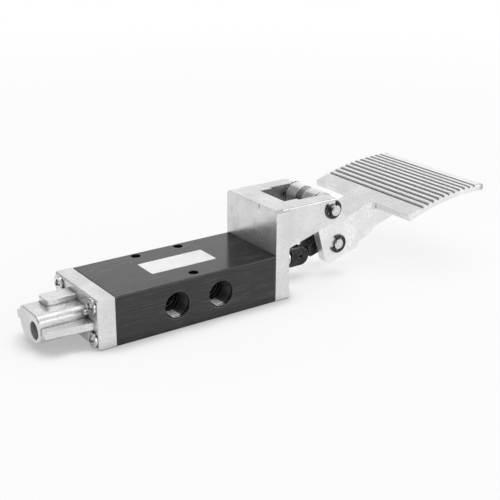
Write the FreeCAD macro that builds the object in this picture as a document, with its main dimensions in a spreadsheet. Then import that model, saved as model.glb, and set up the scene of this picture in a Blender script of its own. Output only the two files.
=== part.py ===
import FreeCAD, Part
import math
import os
import re
import Sketcher

# Foot pedal air valve: a five-port spool valve whose spool is pushed in by a treadle.
# Frame: origin at the centre of the valve body's bottom face, +X towards the pedal, +Z up.
# All sizes are in millimetres and stand in the sheet below, each written once.

DIMENSIONS = (
    # Valve body
    ("body_length", 80, "valve body along X"),
    ("body_width", 39, "valve body along Y"),
    ("body_height", 22, "valve body along Z"),
    ("body_edge", 0.5, "rounding of the four long edges"),
    ("axis_height", 11, "spool axis above the bottom face"),
    ("bore_dia", 16, "spool bore"),
    ("gallery_dia", 19, "ring channels cut round the bore"),
    ("gallery_width", 5, "ring channel along X"),
    ("port_pitch", 11, "from one ring channel to the next"),
    ("port_dia", 11.8, "tapping size of a quarter inch pipe port"),
    ("port_depth", 10, "threaded depth of a port"),
    ("port_chamfer", 0.4, "bevel at a port's mouth"),
    ("passage_dia", 8, "drilling from a port to its ring channel"),
    ("mount_hole_dia", 4.5, "vertical through holes"),
    ("mount_far_side", 3.3, "pair of through holes, from the far side face"),
    ("mount_near_side", 4.9, "single through hole, from the near side face"),
    # End screws, the same on both ends
    ("screw_side", 4.5, "end screws from the side faces"),
    ("screw_rise", 3.7, "end screws from the bottom and top faces"),
    ("screw_dia", 4, "end screw thread"),
    ("screw_head_dia", 7.2, "pan head"),
    ("screw_head_height", 2.6, "pan head"),
    ("screw_bite", 9, "screw length inside the valve body"),
    ("screw_tip_gap", 1, "hole depth past the screw's tip"),
    ("recess_span", 4, "cross recess, end to end"),
    ("recess_slot", 0.9, "cross recess, width of an arm"),
    ("recess_depth", 1.4, "cross recess"),
    # Gaskets
    ("gasket_thickness", 0.4, "flat gaskets under both end castings"),
    ("gasket_inset", 0.3, "gasket edge behind the body's faces"),
    # Rear cap
    ("cap_thickness", 8, "rear cap plate along X"),
    ("cap_round", 0.9, "rounding round the plate's outer face"),
    ("nose_length", 21.2, "nose along X, from the plate"),
    ("nose_radius", 6.35, "lower corners of the nose"),
    ("nose_lobe_y", 3.25, "centres of the lower corners from the middle plane"),
    ("nose_height", 9.35, "centres of the lower corners above the bottom face"),
    ("nose_top", 16.3, "flat top of the nose above the bottom face"),
    ("nose_shoulder", 3.4, "upper corners of the nose"),
    ("nose_bead", 0.7, "rounding round the nose's end"),
    ("crest_length", 13.8, "upper crest along X, from the plate"),
    ("crest_width", 8.2, "upper crest along Y"),
    ("crest_y", 3.3, "crest's middle towards the far side"),
    ("crest_height", 2.8, "crest above the nose's flat top"),
    ("crest_corner", 1.8, "corners of the crest's end"),
    ("crest_round", 0.5, "rounding round the crest's top"),
    ("fin_inset", 3.5, "side fins behind the plate's side faces"),
    ("fin_taper", 2.2, "side fins, inward to their end"),
    ("fin_thickness", 3.2, "side fins along Z"),
    ("fin_height", 10, "middle of the side fins above the bottom face"),
    ("fin_length", 20.4, "side fins along X, from the plate"),
    ("chamber_dia", 9.2, "spring chamber"),
    ("chamber_depth", 20.6, "spring chamber from the cap's inner face"),
    ("end_hole_dia", 7.8, "blind hole in the nose's end"),
    ("end_hole_depth", 5, "blind hole in the nose's end"),
    ("end_hole_y", 4.6, "blind hole towards the near side"),
    ("end_hole_height", 9.2, "blind hole above the bottom face"),
    # Pedal bracket
    ("bracket_plate", 7.4, "upright plate along X"),
    ("bracket_height", 43, "top of the bracket"),
    ("bracket_bevel", 1.5, "bevel of the plate's top corners"),
    ("pivot_reach", 32.6, "pivot from the bracket's mounting face"),
    ("pivot_height", 37.8, "pivot above the bottom face"),
    ("ear_inset", 0.75, "ears behind the plate's side faces"),
    ("ear_slope", 16.5, "slope of the ears' lower edge, degrees"),
    ("ear_radius", 7.1, "ears' end below the pivot"),
    ("ear_round", 0.6, "rounding of the ears' outer edges"),
    ("window_start", 11.6, "window from the mounting face"),
    ("window_width", 19, "window between the ears"),
    ("relief_start", 18.6, "wider stretch of the window"),
    ("relief_width", 22.4, "between the ears at the pivot"),
    ("parting_notch", 0.7, "nick in the top edge, from the mould"),
    ("notch_y", 6.1, "nick towards the near side"),
    # Rod guide
    ("rod_dia", 8, "spool rod"),
    ("bush_wall", 2, "rod bush"),
    ("bush_length", 7.6, "rod bush along X"),
    ("bush_flange", 0.8, "rod bush flange, thickness and height"),
    ("seal_dia", 14, "rod seal, outside"),
    ("seal_depth", 3, "rod seal along X"),
    # Spool
    ("land_width", 3.2, "sealing lands"),
    ("end_land_width", 6, "guiding lands at both ends"),
    ("core_dia", 9, "spool between the lands"),
    ("seal_width", 1.7, "seal rings on the lands"),
    ("seal_bed_dia", 13.4, "bottom of the seal grooves"),
    ("spool_stroke", 5.7, "spool travel at full pedal"),
    ("seat_stub_dia", 5, "rear stub that centres the spring"),
    ("seat_stub_length", 4, "rear stub"),
    ("rod_reach", 20.2, "rod's shoulder from the bracket's mounting face"),
    ("rod_cone", 1.5, "cone at the rod's shoulder"),
    ("stud_dia", 5, "threaded stud of the rod"),
    ("stud_inset", 0.2, "stud's end behind the bottom of the clevis slot"),
    # Spring
    ("spring_dia", 7.6, "return spring, middle of the wire"),
    ("spring_wire", 1, "return spring wire"),
    ("spring_turns", 7, "return spring"),
    ("seat_dia", 8.6, "spring seat, outside"),
    ("seat_thickness", 1, "spring seat flange"),
    # Clevis and link
    ("clevis_reach", 27, "spool pin from the bracket's mounting face"),
    ("clevis_width", 6.4, "clevis along Y"),
    ("clevis_radius", 4.4, "clevis round the spool pin"),
    ("clevis_slot", 3.2, "slot for the link's tongue"),
    ("clevis_slot_back", 3.7, "bottom of the slot, from the spool pin"),
    ("spool_pin_dia", 3, "spring pin through clevis and link"),
    ("spool_pin_hole", 1.6, "hollow of the spring pin"),
    ("spool_pin_inset", 0.4, "spring pin behind the clevis's faces"),
    ("tongue_thickness", 3, "link's tongue"),
    ("tongue_radius", 3.3, "link's tongue round the spool pin"),
    ("link_width", 6.4, "link along Y"),
    ("link_bar", 6, "link's bar, its height"),
    ("link_eye_radius", 4.4, "link round the link pin"),
    ("link_shoulder", 5.2, "start of the link's full width, from the spool pin"),
    ("open_play", 0.35, "radial play of the link on the link pin"),
    # Pins, washers and clips
    ("pin_dia", 5, "pivot pin and link pin"),
    ("pin_groove_dia", 4, "clip grooves in the pins"),
    ("pivot_overhang", 2, "pivot pin past its clips"),
    ("link_overhang", 0.7, "link pin past its clips"),
    ("pin_bevel", 0.4, "bevel of the pins' ends"),
    ("clip_dia", 8.8, "retaining clips"),
    ("clip_thickness", 0.7, "retaining clips"),
    ("clip_mouth", 3.3, "opening of a retaining clip at its middle"),
    ("clip_flare", 1.1, "each side of the opening, outward to the clip's rim"),
    ("clip_pocket", 2, "crescent pockets inside a clip"),
    ("link_washer_dia", 9.4, "washers between link and lever plates"),
    ("hub_washer_dia", 12, "washers inside the ears"),
    ("hub_washer_thickness", 1, "washers inside the ears"),
    ("spacer_dia", 11, "sleeve between the two hubs"),
    # Pedal casting, from the pivot
    ("lever_x", 11.4, "link pin from the pivot, along X"),
    ("lever_drop", 21.9, "link pin below the pivot"),
    ("hub_radius", 5.9, "hubs on the pivot pin"),
    ("hub_width", 19, "across both hubs and lever plates"),
    ("hub_gap", 4.4, "gap between the two hubs"),
    ("plate_thickness", 4.5, "lever plates"),
    ("neck_width", 17, "neck between lever plates and tread"),
    ("neck_back", 17.4, "neck's rear end, from the pivot"),
    ("neck_flare", 2.6, "rounding where the neck joins the tread"),
    ("hinge_edge_x", 32.6, "tread's rear edge, from the pivot"),
    ("toe_x", 82.4, "tread's front edge, from the pivot"),
    ("crown_x", 75, "highest line of the tread, from the pivot"),
    ("crown_z", 2.4, "highest line of the tread, above the pivot"),
    ("crown_radius", 124.5, "curve of the tread along X"),
    ("tread_width", 69, "tread along Y"),
    ("tread_thickness", 3, "tread plate"),
    ("tread_corner", 1.2, "tread's corners seen from above"),
    ("tread_bevel", 0.5, "bevel along the tread's side edges"),
    ("groove_start", 9.2, "first groove from the rear edge"),
    ("groove_pitch", 3.45, "from groove to groove"),
    ("groove_count", 11, "grooves across the tread"),
    ("groove_width", 1.8, "groove at the surface"),
    ("groove_floor", 0.7, "groove at its bottom"),
    ("groove_depth", 1, "groove"),
    ("rib_thickness", 2.6, "two ribs under the tread"),
    ("rib_inset", 0.5, "ribs behind the neck's sides"),
    ("rib_reach", 67, "end of the ribs, from the pivot"),
    # Clearances
    ("running_gap", 0.05, "radial clearance of a shaft that moves in its hole"),
    ("slip_gap", 0.03, "radial clearance of a fixed pin or screw"),
    ("side_gap", 0.05, "clearance beside washers, clips and hubs"),
    ("seat_gap", 0.3, "clearance between curved or moving faces at rest"),
)

DOC = FreeCAD.newDocument("FootPedalValve")
SIZES = DOC.addObject("Spreadsheet::Sheet", "Sizes")
NAMES = {name for name, size, note in DIMENSIONS}

# Places that several pieces share, as expressions of the sheet's values
REAR_FACE = "-(body_length / 2 + gasket_thickness)"
FRONT_FACE = "(body_length / 2 + gasket_thickness)"
PIVOT_X = "(body_length / 2 + gasket_thickness + pivot_reach)"
SPOOL_PIN_X = "(body_length / 2 + gasket_thickness + clevis_reach)"
ROD_SHOULDER_X = "(body_length / 2 + gasket_thickness + rod_reach)"
LINK_PIN_X = "(body_length / 2 + gasket_thickness + pivot_reach + lever_x)"
LINK_PIN_Z = "(pivot_height - lever_drop)"
REAR_LAND = "-(body_length / 2 - seat_gap - spool_stroke - end_land_width / 2)"
FRONT_LAND = "(body_length / 2 - seat_gap - end_land_width / 2)"
LINK_LENGTH = (
    "sqrt((pivot_reach + lever_x - clevis_reach) ^ 2"
    " + (pivot_height - lever_drop - axis_height) ^ 2)"
)
LINK_ANGLE = (
    "atan((pivot_height - lever_drop - axis_height)"
    " / (pivot_reach + lever_x - clevis_reach))"
)
SCREW_Y = "(body_width / 2 - screw_side)"
EAR_WIDTH = "(body_width - 2 * ear_inset)"
EDGE_Z = (
    "(crown_z - crown_radius"
    " + sqrt(crown_radius ^ 2 - (crown_x - hinge_edge_x) ^ 2))"
)
GALLERIES = [f"({step} * port_pitch)" for step in (-2, -1, 0, 1, 2)]
SEALING_LANDS = [f"({step} * port_pitch)" for step in (-1.5, 0, 0.5, 2)]


def fill_sheet():
    """Writes the driving dimensions into the sheet."""
    for row, (name, size, note) in enumerate(DIMENSIONS, start=1):
        SIZES.set(f"A{row}", name)
        SIZES.set(f"B{row}", str(size))
        SIZES.set(f"C{row}", note)
        SIZES.setAlias(f"B{row}", name)
    DOC.recompute()


def qualified(text):
    """An expression with the sheet's name before each of its aliases."""
    def full(word):
        return "Sizes." + word.group() if word.group() in NAMES else word.group()
    return re.sub(r"[a-z_]+[a-z_0-9]*", full, str(text))


def number(text):
    """The present value of an expression, as a plain number."""
    value = SIZES.evalExpression(qualified(text))
    return float(getattr(value, "Value", value))


def bind(thing, **sizes):
    """Binds properties to expressions; a double underscore stands for a point."""
    for prop, text in sizes.items():
        thing.setExpression(prop.replace("__", "."), qualified(text))


def place(thing, along_x="0", along_y="0", along_z="0"):
    """Moves a piece to a place that follows the sheet."""
    bind(thing, Placement__Base__x=along_x, Placement__Base__y=along_y, Placement__Base__z=along_z)


def new_body(label):
    """An empty solid that takes sketches and features."""
    body = DOC.addObject("PartDesign::Body", label)
    body.AllowCompound = True
    return body


def new_sketch(body, role, offset="0"):
    """A sketch on one of the body's own planes, moved along the plane's normal."""
    drawing = body.newObject("Sketcher::SketchObject", body.Name + "_sketch")
    plane = next(item for item in body.Origin.OriginFeatures if item.Role == role)
    drawing.AttachmentSupport = (plane, [""])
    drawing.MapMode = "FlatFace"
    bind(drawing, AttachmentOffset__Base__z=offset)
    return drawing


def pin_point(drawing, edge, end, at_x, at_y):
    """Ties a point of a sketch to two expressions."""
    for kind, text in (("DistanceX", at_x), ("DistanceY", at_y)):
        rule = drawing.addConstraint(Sketcher.Constraint(kind, -1, 1, edge, end, number(text)))
        drawing.setExpression(f"Constraints[{rule}]", qualified(text))


def arc_between(start, finish, radius, side):
    """The short arc from start to finish, its centre to the left (1) or right (-1)."""
    chord = finish - start
    middle = (start + finish) / 2
    rise = math.sqrt(max(radius ** 2 - (chord.Length / 2) ** 2, 0))
    left = FreeCAD.Vector(-chord.y, chord.x, 0).normalize()
    centre = middle + left * rise * side
    first, last = start - centre, finish - centre
    angles = [math.atan2(first.y, first.x), math.atan2(last.y, last.x)]
    if side < 0:
        angles.reverse()
    circle = Part.Circle(centre, FreeCAD.Vector(0, 0, 1), radius)
    return Part.ArcOfCircle(circle, *angles)


def outline(drawing, corners):
    """Draws a closed outline.

    A corner is (x, y), or (x, y, radius, side) where an arc leads to the next corner. Its centre
    lies to the left of the way (side 1) or to the right (side -1).
    """
    spots = [FreeCAD.Vector(number(item[0]), number(item[1]), 0) for item in corners]
    edges = []
    for here, item in enumerate(corners):
        start, finish = spots[here], spots[(here + 1) % len(spots)]
        if len(item) == 4:
            curve = arc_between(start, finish, number(item[2]), item[3])
            edges.append((drawing.addGeometry(curve, False), item[3] < 0))
        else:
            edges.append((drawing.addGeometry(Part.LineSegment(start, finish), False), False))
    for here, (edge, turned) in enumerate(edges):
        following, next_turned = edges[(here + 1) % len(edges)]
        tail, head = (1 if turned else 2), (2 if next_turned else 1)
        drawing.addConstraint(Sketcher.Constraint("Coincident", edge, tail, following, head))
    for (edge, turned), item in zip(edges, corners):
        pin_point(drawing, edge, 2 if turned else 1, item[0], item[1])
        if len(item) == 4:
            rule = drawing.addConstraint(Sketcher.Constraint("Radius", edge, number(item[2])))
            drawing.setExpression(f"Constraints[{rule}]", qualified(item[2]))


def ring(drawing, at_x, at_y, radius):
    """Draws a circle."""
    centre = FreeCAD.Vector(number(at_x), number(at_y), 0)
    curve = Part.Circle(centre, FreeCAD.Vector(0, 0, 1), number(radius))
    edge = drawing.addGeometry(curve, False)
    pin_point(drawing, edge, 3, at_x, at_y)
    rule = drawing.addConstraint(Sketcher.Constraint("Radius", edge, number(radius)))
    drawing.setExpression(f"Constraints[{rule}]", qualified(radius))


def rectangle(drawing, low_x, high_x, low_y, high_y):
    """Draws a rectangle between two x and two y values."""
    outline(drawing, [(low_x, low_y), (high_x, low_y), (high_x, high_y), (low_x, high_y)])


def feature(body, kind, drawing, length, side="One side", reverse=False):
    """A pad or pocket of a sketch."""
    step = body.newObject("PartDesign::" + kind, f"{body.Name}_{kind.lower()}")
    step.Profile = drawing
    step.SideType = side
    step.Reversed = reverse
    bind(step, Length=length)
    drawing.Visibility = False
    return step


def pad(body, drawing, length, side="One side", reverse=False):
    """Adds material along the sketch's normal."""
    return feature(body, "Pad", drawing, length, side, reverse)


def pocket(body, drawing, length, side="One side", reverse=False):
    """Takes material away; the volume has to fall."""
    DOC.recompute()
    before = body.Shape.Volume
    step = feature(body, "Pocket", drawing, length, side, reverse)
    DOC.recompute()
    if body.Shape.Volume >= before:
        raise ValueError(f"{step.Label} cuts nothing")
    return step


def turned(body, drawing, axis="H_Axis", kind="Revolution"):
    """Turns a sketch round one of its own axes."""
    step = body.newObject("PartDesign::" + kind, f"{body.Name}_{kind.lower()}")
    step.Profile = drawing
    step.ReferenceAxis = (drawing, [axis])
    step.Angle = 360
    return step


def softened(body, kind, size, wanted):
    """Rounds or bevels the edges that a test picks from the present shape."""
    DOC.recompute()
    base = body.Tip
    picked = [f"Edge{index}" for index, edge in enumerate(base.Shape.Edges, start=1) if wanted(edge)]
    if not picked:
        raise ValueError(f"no edge of {body.Label} to soften")
    step = body.newObject("PartDesign::" + kind, f"{body.Name}_{kind.lower()}")
    step.Base = (base, picked)
    bind(step, **({"Radius": size} if kind == "Fillet" else {"Size": size}))
    DOC.recompute()
    return step


def near(value, text):
    """True where a coordinate lies on an expression's value."""
    return abs(value - number(text)) < 0.01


def stepped(drawing, stretches):
    """Draws the half section of a turned piece.

    Each stretch is (start, end, radius) along the axis, one after the other.
    """
    corners = [(stretches[0][0], "0")]
    for start, end, radius in stretches:
        corners += [(start, radius), (end, radius)]
    corners.append((stretches[-1][1], "0"))
    outline(drawing, corners)


def mirror_copy(source, direction, at="0"):
    """A mirrored copy of a piece, across a plane at right angles to X, Y or Z."""
    copy = DOC.addObject("Part::Mirroring", source.Name + "_copy")
    copy.Source = source
    copy.Normal = {"x": (1, 0, 0), "y": (0, 1, 0), "z": (0, 0, 1)}[direction]
    bind(copy, **{"Base__" + direction: at})
    return copy


def group(label, members):
    """Several separate solids under one name."""
    bundle = DOC.addObject("Part::Compound", label)
    bundle.Links = members
    return bundle


def pair(label, source):
    """A piece and its twin on the other side of the middle plane."""
    return group(label, [source, mirror_copy(source, "y")])


def rounded_section(drawing, half_width, low, high, radius):
    """Draws a rectangle with four round corners."""
    outline(drawing, [
        (f"-{half_width} + {radius}", low), (f"{half_width} - {radius}", low, radius, 1),
        (half_width, f"{low} + {radius}"), (half_width, f"{high} - {radius}", radius, 1),
        (f"{half_width} - {radius}", high), (f"-{half_width} + {radius}", high, radius, 1),
        (f"-{half_width}", f"{high} - {radius}"), (f"-{half_width}", f"{low} + {radius}", radius, 1),
    ])


def screw_rings(drawing, radius):
    """Draws the four end screw holes round the spool axis."""
    for side in ("-", ""):
        for level in ("screw_rise", "body_height - screw_rise"):
            ring(drawing, side + SCREW_Y, level, radius)


def hole_sketch(body, role, offset, spots, radius):
    """A sketch of equal circles."""
    drawing = new_sketch(body, role, offset)
    for at_x, at_y in spots:
        ring(drawing, at_x, at_y, radius)
    return drawing


def make_valve_body():
    """Extruded body with the spool bore, five ports and three mounting holes."""
    body = new_body("valve_body")
    section = new_sketch(body, "YZ_Plane")
    rounded_section(section, "body_width / 2", "0", "body_height", "body_edge")
    pad(body, section, "body_length", "Symmetric")
    bore = hole_sketch(body, "YZ_Plane", "0", [("0", "axis_height")], "bore_dia / 2")
    pocket(body, bore, "body_length + 2", "Symmetric")
    for here in GALLERIES:
        channel = hole_sketch(body, "YZ_Plane", here, [("0", "axis_height")], "gallery_dia / 2")
        pocket(body, channel, "gallery_width", "Symmetric")
    add_ports(body, GALLERIES[1::2], "body_width / 2", False)
    add_ports(body, GALLERIES[0::2], "-body_width / 2", True)
    far_y, near_y = "body_width / 2 - mount_far_side", "mount_near_side - body_width / 2"
    spots = [("port_pitch", far_y), ("-port_pitch", far_y), ("0", near_y)]
    mounting = hole_sketch(body, "XY_Plane", "body_height", spots, "mount_hole_dia / 2")
    pocket(body, mounting, "body_height + 1")
    for offset, reverse in (("body_length / 2", False), ("-body_length / 2", True)):
        threads = new_sketch(body, "YZ_Plane", offset)
        screw_rings(threads, "screw_dia / 2 + slip_gap")
        pocket(body, threads, "screw_bite + screw_tip_gap", reverse=reverse)
    return body


def add_ports(body, places, face, reverse):
    """Bevelled pipe ports with their drillings down to the ring channels."""
    spots = [(here, "axis_height") for here in places]
    mouth = hole_sketch(body, "XZ_Plane", face, spots, "port_dia / 2 + port_chamfer")
    bevel = pocket(body, mouth, "port_chamfer", reverse=reverse)
    bevel.TaperAngle = -45
    thread = hole_sketch(body, "XZ_Plane", face, spots, "port_dia / 2")
    pocket(body, thread, "port_depth", reverse=reverse)
    passage = hole_sketch(body, "XZ_Plane", face, spots, "passage_dia / 2")
    pocket(body, passage, "body_width / 2 - bore_dia / 4", reverse=reverse)


def make_gasket(label, place_x, bore):
    """Flat gasket with the bore and the four screw holes."""
    body = new_body(label)
    sheet = new_sketch(body, "YZ_Plane")
    rounded_section(
        sheet, "(body_width / 2 - gasket_inset)", "gasket_inset", "(body_height - gasket_inset)",
        "body_edge")
    ring(sheet, "0", "axis_height", bore)
    screw_rings(sheet, "screw_dia / 2 + seat_gap")
    pad(body, sheet, "gasket_thickness")
    place(body, place_x)
    return body


def nose_outline(drawing):
    """Draws the nose's section: deep round corners below, tighter ones above."""
    low = "nose_height - nose_radius"
    outer = "(nose_lobe_y + nose_radius)"
    bend, inner = "nose_top - nose_shoulder", f"({outer} - nose_shoulder)"
    outline(drawing, [
        ("-nose_lobe_y", low), ("nose_lobe_y", low, "nose_radius", 1), (outer, "nose_height"),
        (outer, bend, "nose_shoulder", 1), (inner, "nose_top"),
        ("-" + inner, "nose_top", "nose_shoulder", 1), ("-" + outer, bend),
        ("-" + outer, "nose_height", "nose_radius", 1),
    ])


def add_crest(body):
    """Adds the rear cap's flat-topped crest, rounded at its end and round its top."""
    end, top = "-(cap_thickness + crest_length)", "nose_top + crest_height"
    crest = new_sketch(body, "YZ_Plane")
    rectangle(crest, "crest_y - crest_width / 2", "crest_y + crest_width / 2", "axis_height", top)
    pad(body, crest, "cap_thickness + crest_length", reverse=True)
    softened(body, "Fillet", "crest_corner", lambda edge: near(edge.BoundBox.XMax, end)
             and edge.BoundBox.XLength < 0.01 and edge.BoundBox.YLength < 0.01)
    softened(body, "Fillet", "crest_round", lambda edge: near(edge.BoundBox.ZMin, top)
             and edge.BoundBox.ZLength < 0.01
             and edge.BoundBox.XMin < number("-cap_thickness") - 0.1)


def make_rear_cap():
    """Cast rear cap: plate, nose over the spring chamber, crest and side fins."""
    body = new_body("rear_cap")
    plate = new_sketch(body, "YZ_Plane")
    rectangle(plate, "-body_width / 2", "body_width / 2", "0", "body_height")
    pad(body, plate, "cap_thickness", reverse=True)
    softened(body, "Fillet", "cap_round", lambda edge: edge.BoundBox.XMax < number("-cap_thickness / 2")
             or (near(edge.BoundBox.ZLength, "body_height") and edge.BoundBox.XMin < -0.1))
    nose = new_sketch(body, "YZ_Plane")
    nose_outline(nose)
    pad(body, nose, "cap_thickness + nose_length", reverse=True)
    end = "-(cap_thickness + nose_length)"
    softened(body, "Fillet", "nose_bead", lambda edge: near(edge.BoundBox.XMax, end))
    add_crest(body)
    fins = new_sketch(body, "XY_Plane", "fin_height - fin_thickness / 2")
    root, tip = "(body_width / 2 - fin_inset)", "(body_width / 2 - fin_inset - fin_taper)"
    outline(fins, [
        ("-cap_thickness / 2", "-" + root), ("-cap_thickness / 2", root),
        ("-cap_thickness", root), ("-(cap_thickness + fin_length)", tip),
        ("-(cap_thickness + fin_length)", "-" + tip), ("-cap_thickness", "-" + root),
    ])
    pad(body, fins, "fin_thickness")
    chamber = hole_sketch(body, "YZ_Plane", "0", [("0", "axis_height")], "chamber_dia / 2")
    pocket(body, chamber, "chamber_depth")
    spots = [("-end_hole_y", "end_hole_height")]
    blind = hole_sketch(body, "YZ_Plane", end, spots, "end_hole_dia / 2")
    pocket(body, blind, "end_hole_depth", reverse=True)
    screws = new_sketch(body, "YZ_Plane")
    screw_rings(screws, "screw_dia / 2 + slip_gap")
    pocket(body, screws, "cap_thickness + 1")
    place(body, REAR_FACE)
    return body


def ear_outline(drawing):
    """Draws the side of the bracket's ears, round the pivot and sloping below."""
    radius = "(bracket_height - pivot_height)"
    right = f"(pivot_reach + {radius})"
    low_x = f"({right} - ear_radius * (1 - sin(ear_slope)))"
    low_z = "(pivot_height - ear_radius * cos(ear_slope))"
    inside = "bracket_plate / 2"
    outline(drawing, [
        (inside, "bracket_height"), (inside, f"{low_z} - ({low_x} - {inside}) * tan(ear_slope)"),
        (low_x, low_z, "ear_radius", 1), (right, "pivot_height", radius, 1),
        ("pivot_reach", "bracket_height"),
    ])


def make_bracket():
    """Cast pedal bracket: upright plate with two ears that carry the pivot pin."""
    body = new_body("pedal_bracket")
    plate = new_sketch(body, "YZ_Plane")
    outline(plate, [
        ("-body_width / 2", "0"), ("body_width / 2", "0"),
        ("body_width / 2", "bracket_height - bracket_bevel"),
        ("body_width / 2 - bracket_bevel", "bracket_height"),
        ("-body_width / 2 + bracket_bevel", "bracket_height"),
        ("-body_width / 2", "bracket_height - bracket_bevel"),
    ])
    pad(body, plate, "bracket_plate")
    ears = new_sketch(body, "XZ_Plane")
    ear_outline(ears)
    pad(body, ears, EAR_WIDTH, "Symmetric")
    softened(body, "Fillet", "ear_round", lambda edge: edge.BoundBox.YLength < 0.01
             and near(abs(edge.BoundBox.YMax), f"{EAR_WIDTH} / 2")
             and edge.BoundBox.XMax > number("bracket_plate + 1"))
    for start, width in (("window_start", "window_width"), ("relief_start", "relief_width")):
        opening = new_sketch(body, "XZ_Plane")
        rectangle(opening, start, "pivot_reach * 2", "0", "bracket_height + 1")
        pocket(body, opening, width, "Symmetric")
    pivot = hole_sketch(body, "XZ_Plane", "0", [("pivot_reach", "pivot_height")],
                        "pin_dia / 2 + slip_gap")
    pocket(body, pivot, f"{EAR_WIDTH} + 1", "Symmetric")
    add_rod_bores(body)
    screws = new_sketch(body, "YZ_Plane", "bracket_plate")
    screw_rings(screws, "screw_dia / 2 + slip_gap")
    pocket(body, screws, "bracket_plate + 1")
    notch = new_sketch(body, "XY_Plane", "bracket_height")
    outline(notch, [
        ("-1", "-notch_y - parting_notch"), ("parting_notch", "-notch_y"),
        ("-1", "-notch_y + parting_notch")])
    pocket(body, notch, "parting_notch * 3")
    place(body, FRONT_FACE)
    return body


def add_rod_bores(body):
    """Seats of the rod seal and the rod bush in the bracket's plate."""
    axis = [("0", "axis_height")]
    seal_seat = hole_sketch(body, "YZ_Plane", "0", axis, "seal_dia / 2")
    pocket(body, seal_seat, "seal_depth", reverse=True)
    bush_seat = hole_sketch(body, "YZ_Plane", "0", axis, "rod_dia / 2 + running_gap + bush_wall")
    pocket(body, bush_seat, "bracket_plate + 1", reverse=True)


def make_rod_bush():
    """Flanged bush that guides the spool rod through the bracket."""
    body = new_body("rod_bush")
    section = new_sketch(body, "XZ_Plane")
    inner = "rod_dia / 2 + running_gap"
    outer = f"{inner} + bush_wall"
    flange_start = "bracket_plate"
    outline(section, [
        ("seal_depth", inner), (f"seal_depth + bush_length", inner),
        (f"seal_depth + bush_length", outer), ("bracket_plate + bush_flange", outer),
        ("bracket_plate + bush_flange", f"{outer} + bush_flange"),
        (flange_start, f"{outer} + bush_flange"), (flange_start, outer), ("seal_depth", outer),
    ])
    turned(body, section)
    place(body, FRONT_FACE, along_z="axis_height")
    return body


def make_rod_seal():
    """Rod seal: a ring with a groove in its pressure side."""
    body = new_body("rod_seal")
    section = new_sketch(body, "XZ_Plane")
    inner, outer = "rod_dia / 2 + running_gap", "seal_dia / 2"
    middle = "(rod_dia / 2 + running_gap + seal_dia / 2) / 2"
    outline(section, [
        ("0", inner), ("seal_depth", inner), ("seal_depth", outer), ("0", outer),
        ("0", f"{middle} + seal_depth / 6"), ("seal_depth / 2", middle),
        ("0", f"{middle} - seal_depth / 6"),
    ])
    turned(body, section)
    place(body, FRONT_FACE, along_z="axis_height")
    return body


def land(centre, width):
    """Stretches of a land with its seal groove in the middle."""
    radius = "bore_dia / 2 - running_gap"
    return [
        (f"{centre} - {width} / 2", f"{centre} - seal_width / 2", radius),
        (f"{centre} - seal_width / 2", f"{centre} + seal_width / 2", "seal_bed_dia / 2"),
        (f"{centre} + seal_width / 2", f"{centre} + {width} / 2", radius),
    ]


def spool_lands():
    """Every land from rear to front: its centre and its width."""
    lands = [(REAR_LAND, "end_land_width")]
    lands += [(centre, "land_width") for centre in SEALING_LANDS]
    lands.append((FRONT_LAND, "end_land_width"))
    return lands


def make_spool():
    """Turned spool: rear stub, six lands, guided rod, cone and threaded stud."""
    body = new_body("spool")
    lands = spool_lands()
    rear = f"{REAR_LAND} - end_land_width / 2"
    stretches = [(f"{rear} - seat_stub_length", rear, "seat_stub_dia / 2")]
    for here, (centre, width) in enumerate(lands):
        stretches += land(centre, width)
        if here + 1 < len(lands):
            next_centre, next_width = lands[here + 1]
            stretches.append((
                f"{centre} + {width} / 2", f"{next_centre} - {next_width} / 2", "core_dia / 2"))
    front = f"{FRONT_LAND} + end_land_width / 2"
    stretches.append((front, ROD_SHOULDER_X, "rod_dia / 2"))
    cone_end = f"{ROD_SHOULDER_X} + rod_cone"
    stretches.append((cone_end, f"{SPOOL_PIN_X} - clevis_slot_back - stud_inset", "stud_dia / 2"))
    section = new_sketch(body, "XZ_Plane")
    stepped(section, stretches)
    turned(body, section)
    place(body, along_z="axis_height")
    return body


def make_seals():
    """Six seal rings in the grooves of the spool's lands."""
    body = new_body("spool_seals")
    section = new_sketch(body, "XZ_Plane")
    for centre, width in spool_lands():
        rectangle(
            section, f"{centre} - seal_width / 2", f"{centre} + seal_width / 2",
            "seal_bed_dia / 2", "bore_dia / 2 - slip_gap")
    turned(body, section)
    place(body, along_z="axis_height")
    return body


def make_spring_seat():
    """Collar on the spool's rear stub that the return spring bears on."""
    body = new_body("spring_seat")
    section = new_sketch(body, "XZ_Plane")
    inner = "seat_stub_dia / 2 + slip_gap"
    collar = "spring_dia / 2 - spring_wire / 2 - seat_gap / 2"
    outline(section, [
        ("0", inner), ("0", "seat_dia / 2"), ("-seat_thickness", "seat_dia / 2"),
        ("-seat_thickness", collar), ("-seat_stub_length", collar), ("-seat_stub_length", inner),
    ])
    turned(body, section)
    place(body, f"{REAR_LAND} - end_land_width / 2", along_z="axis_height")
    return body


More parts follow.
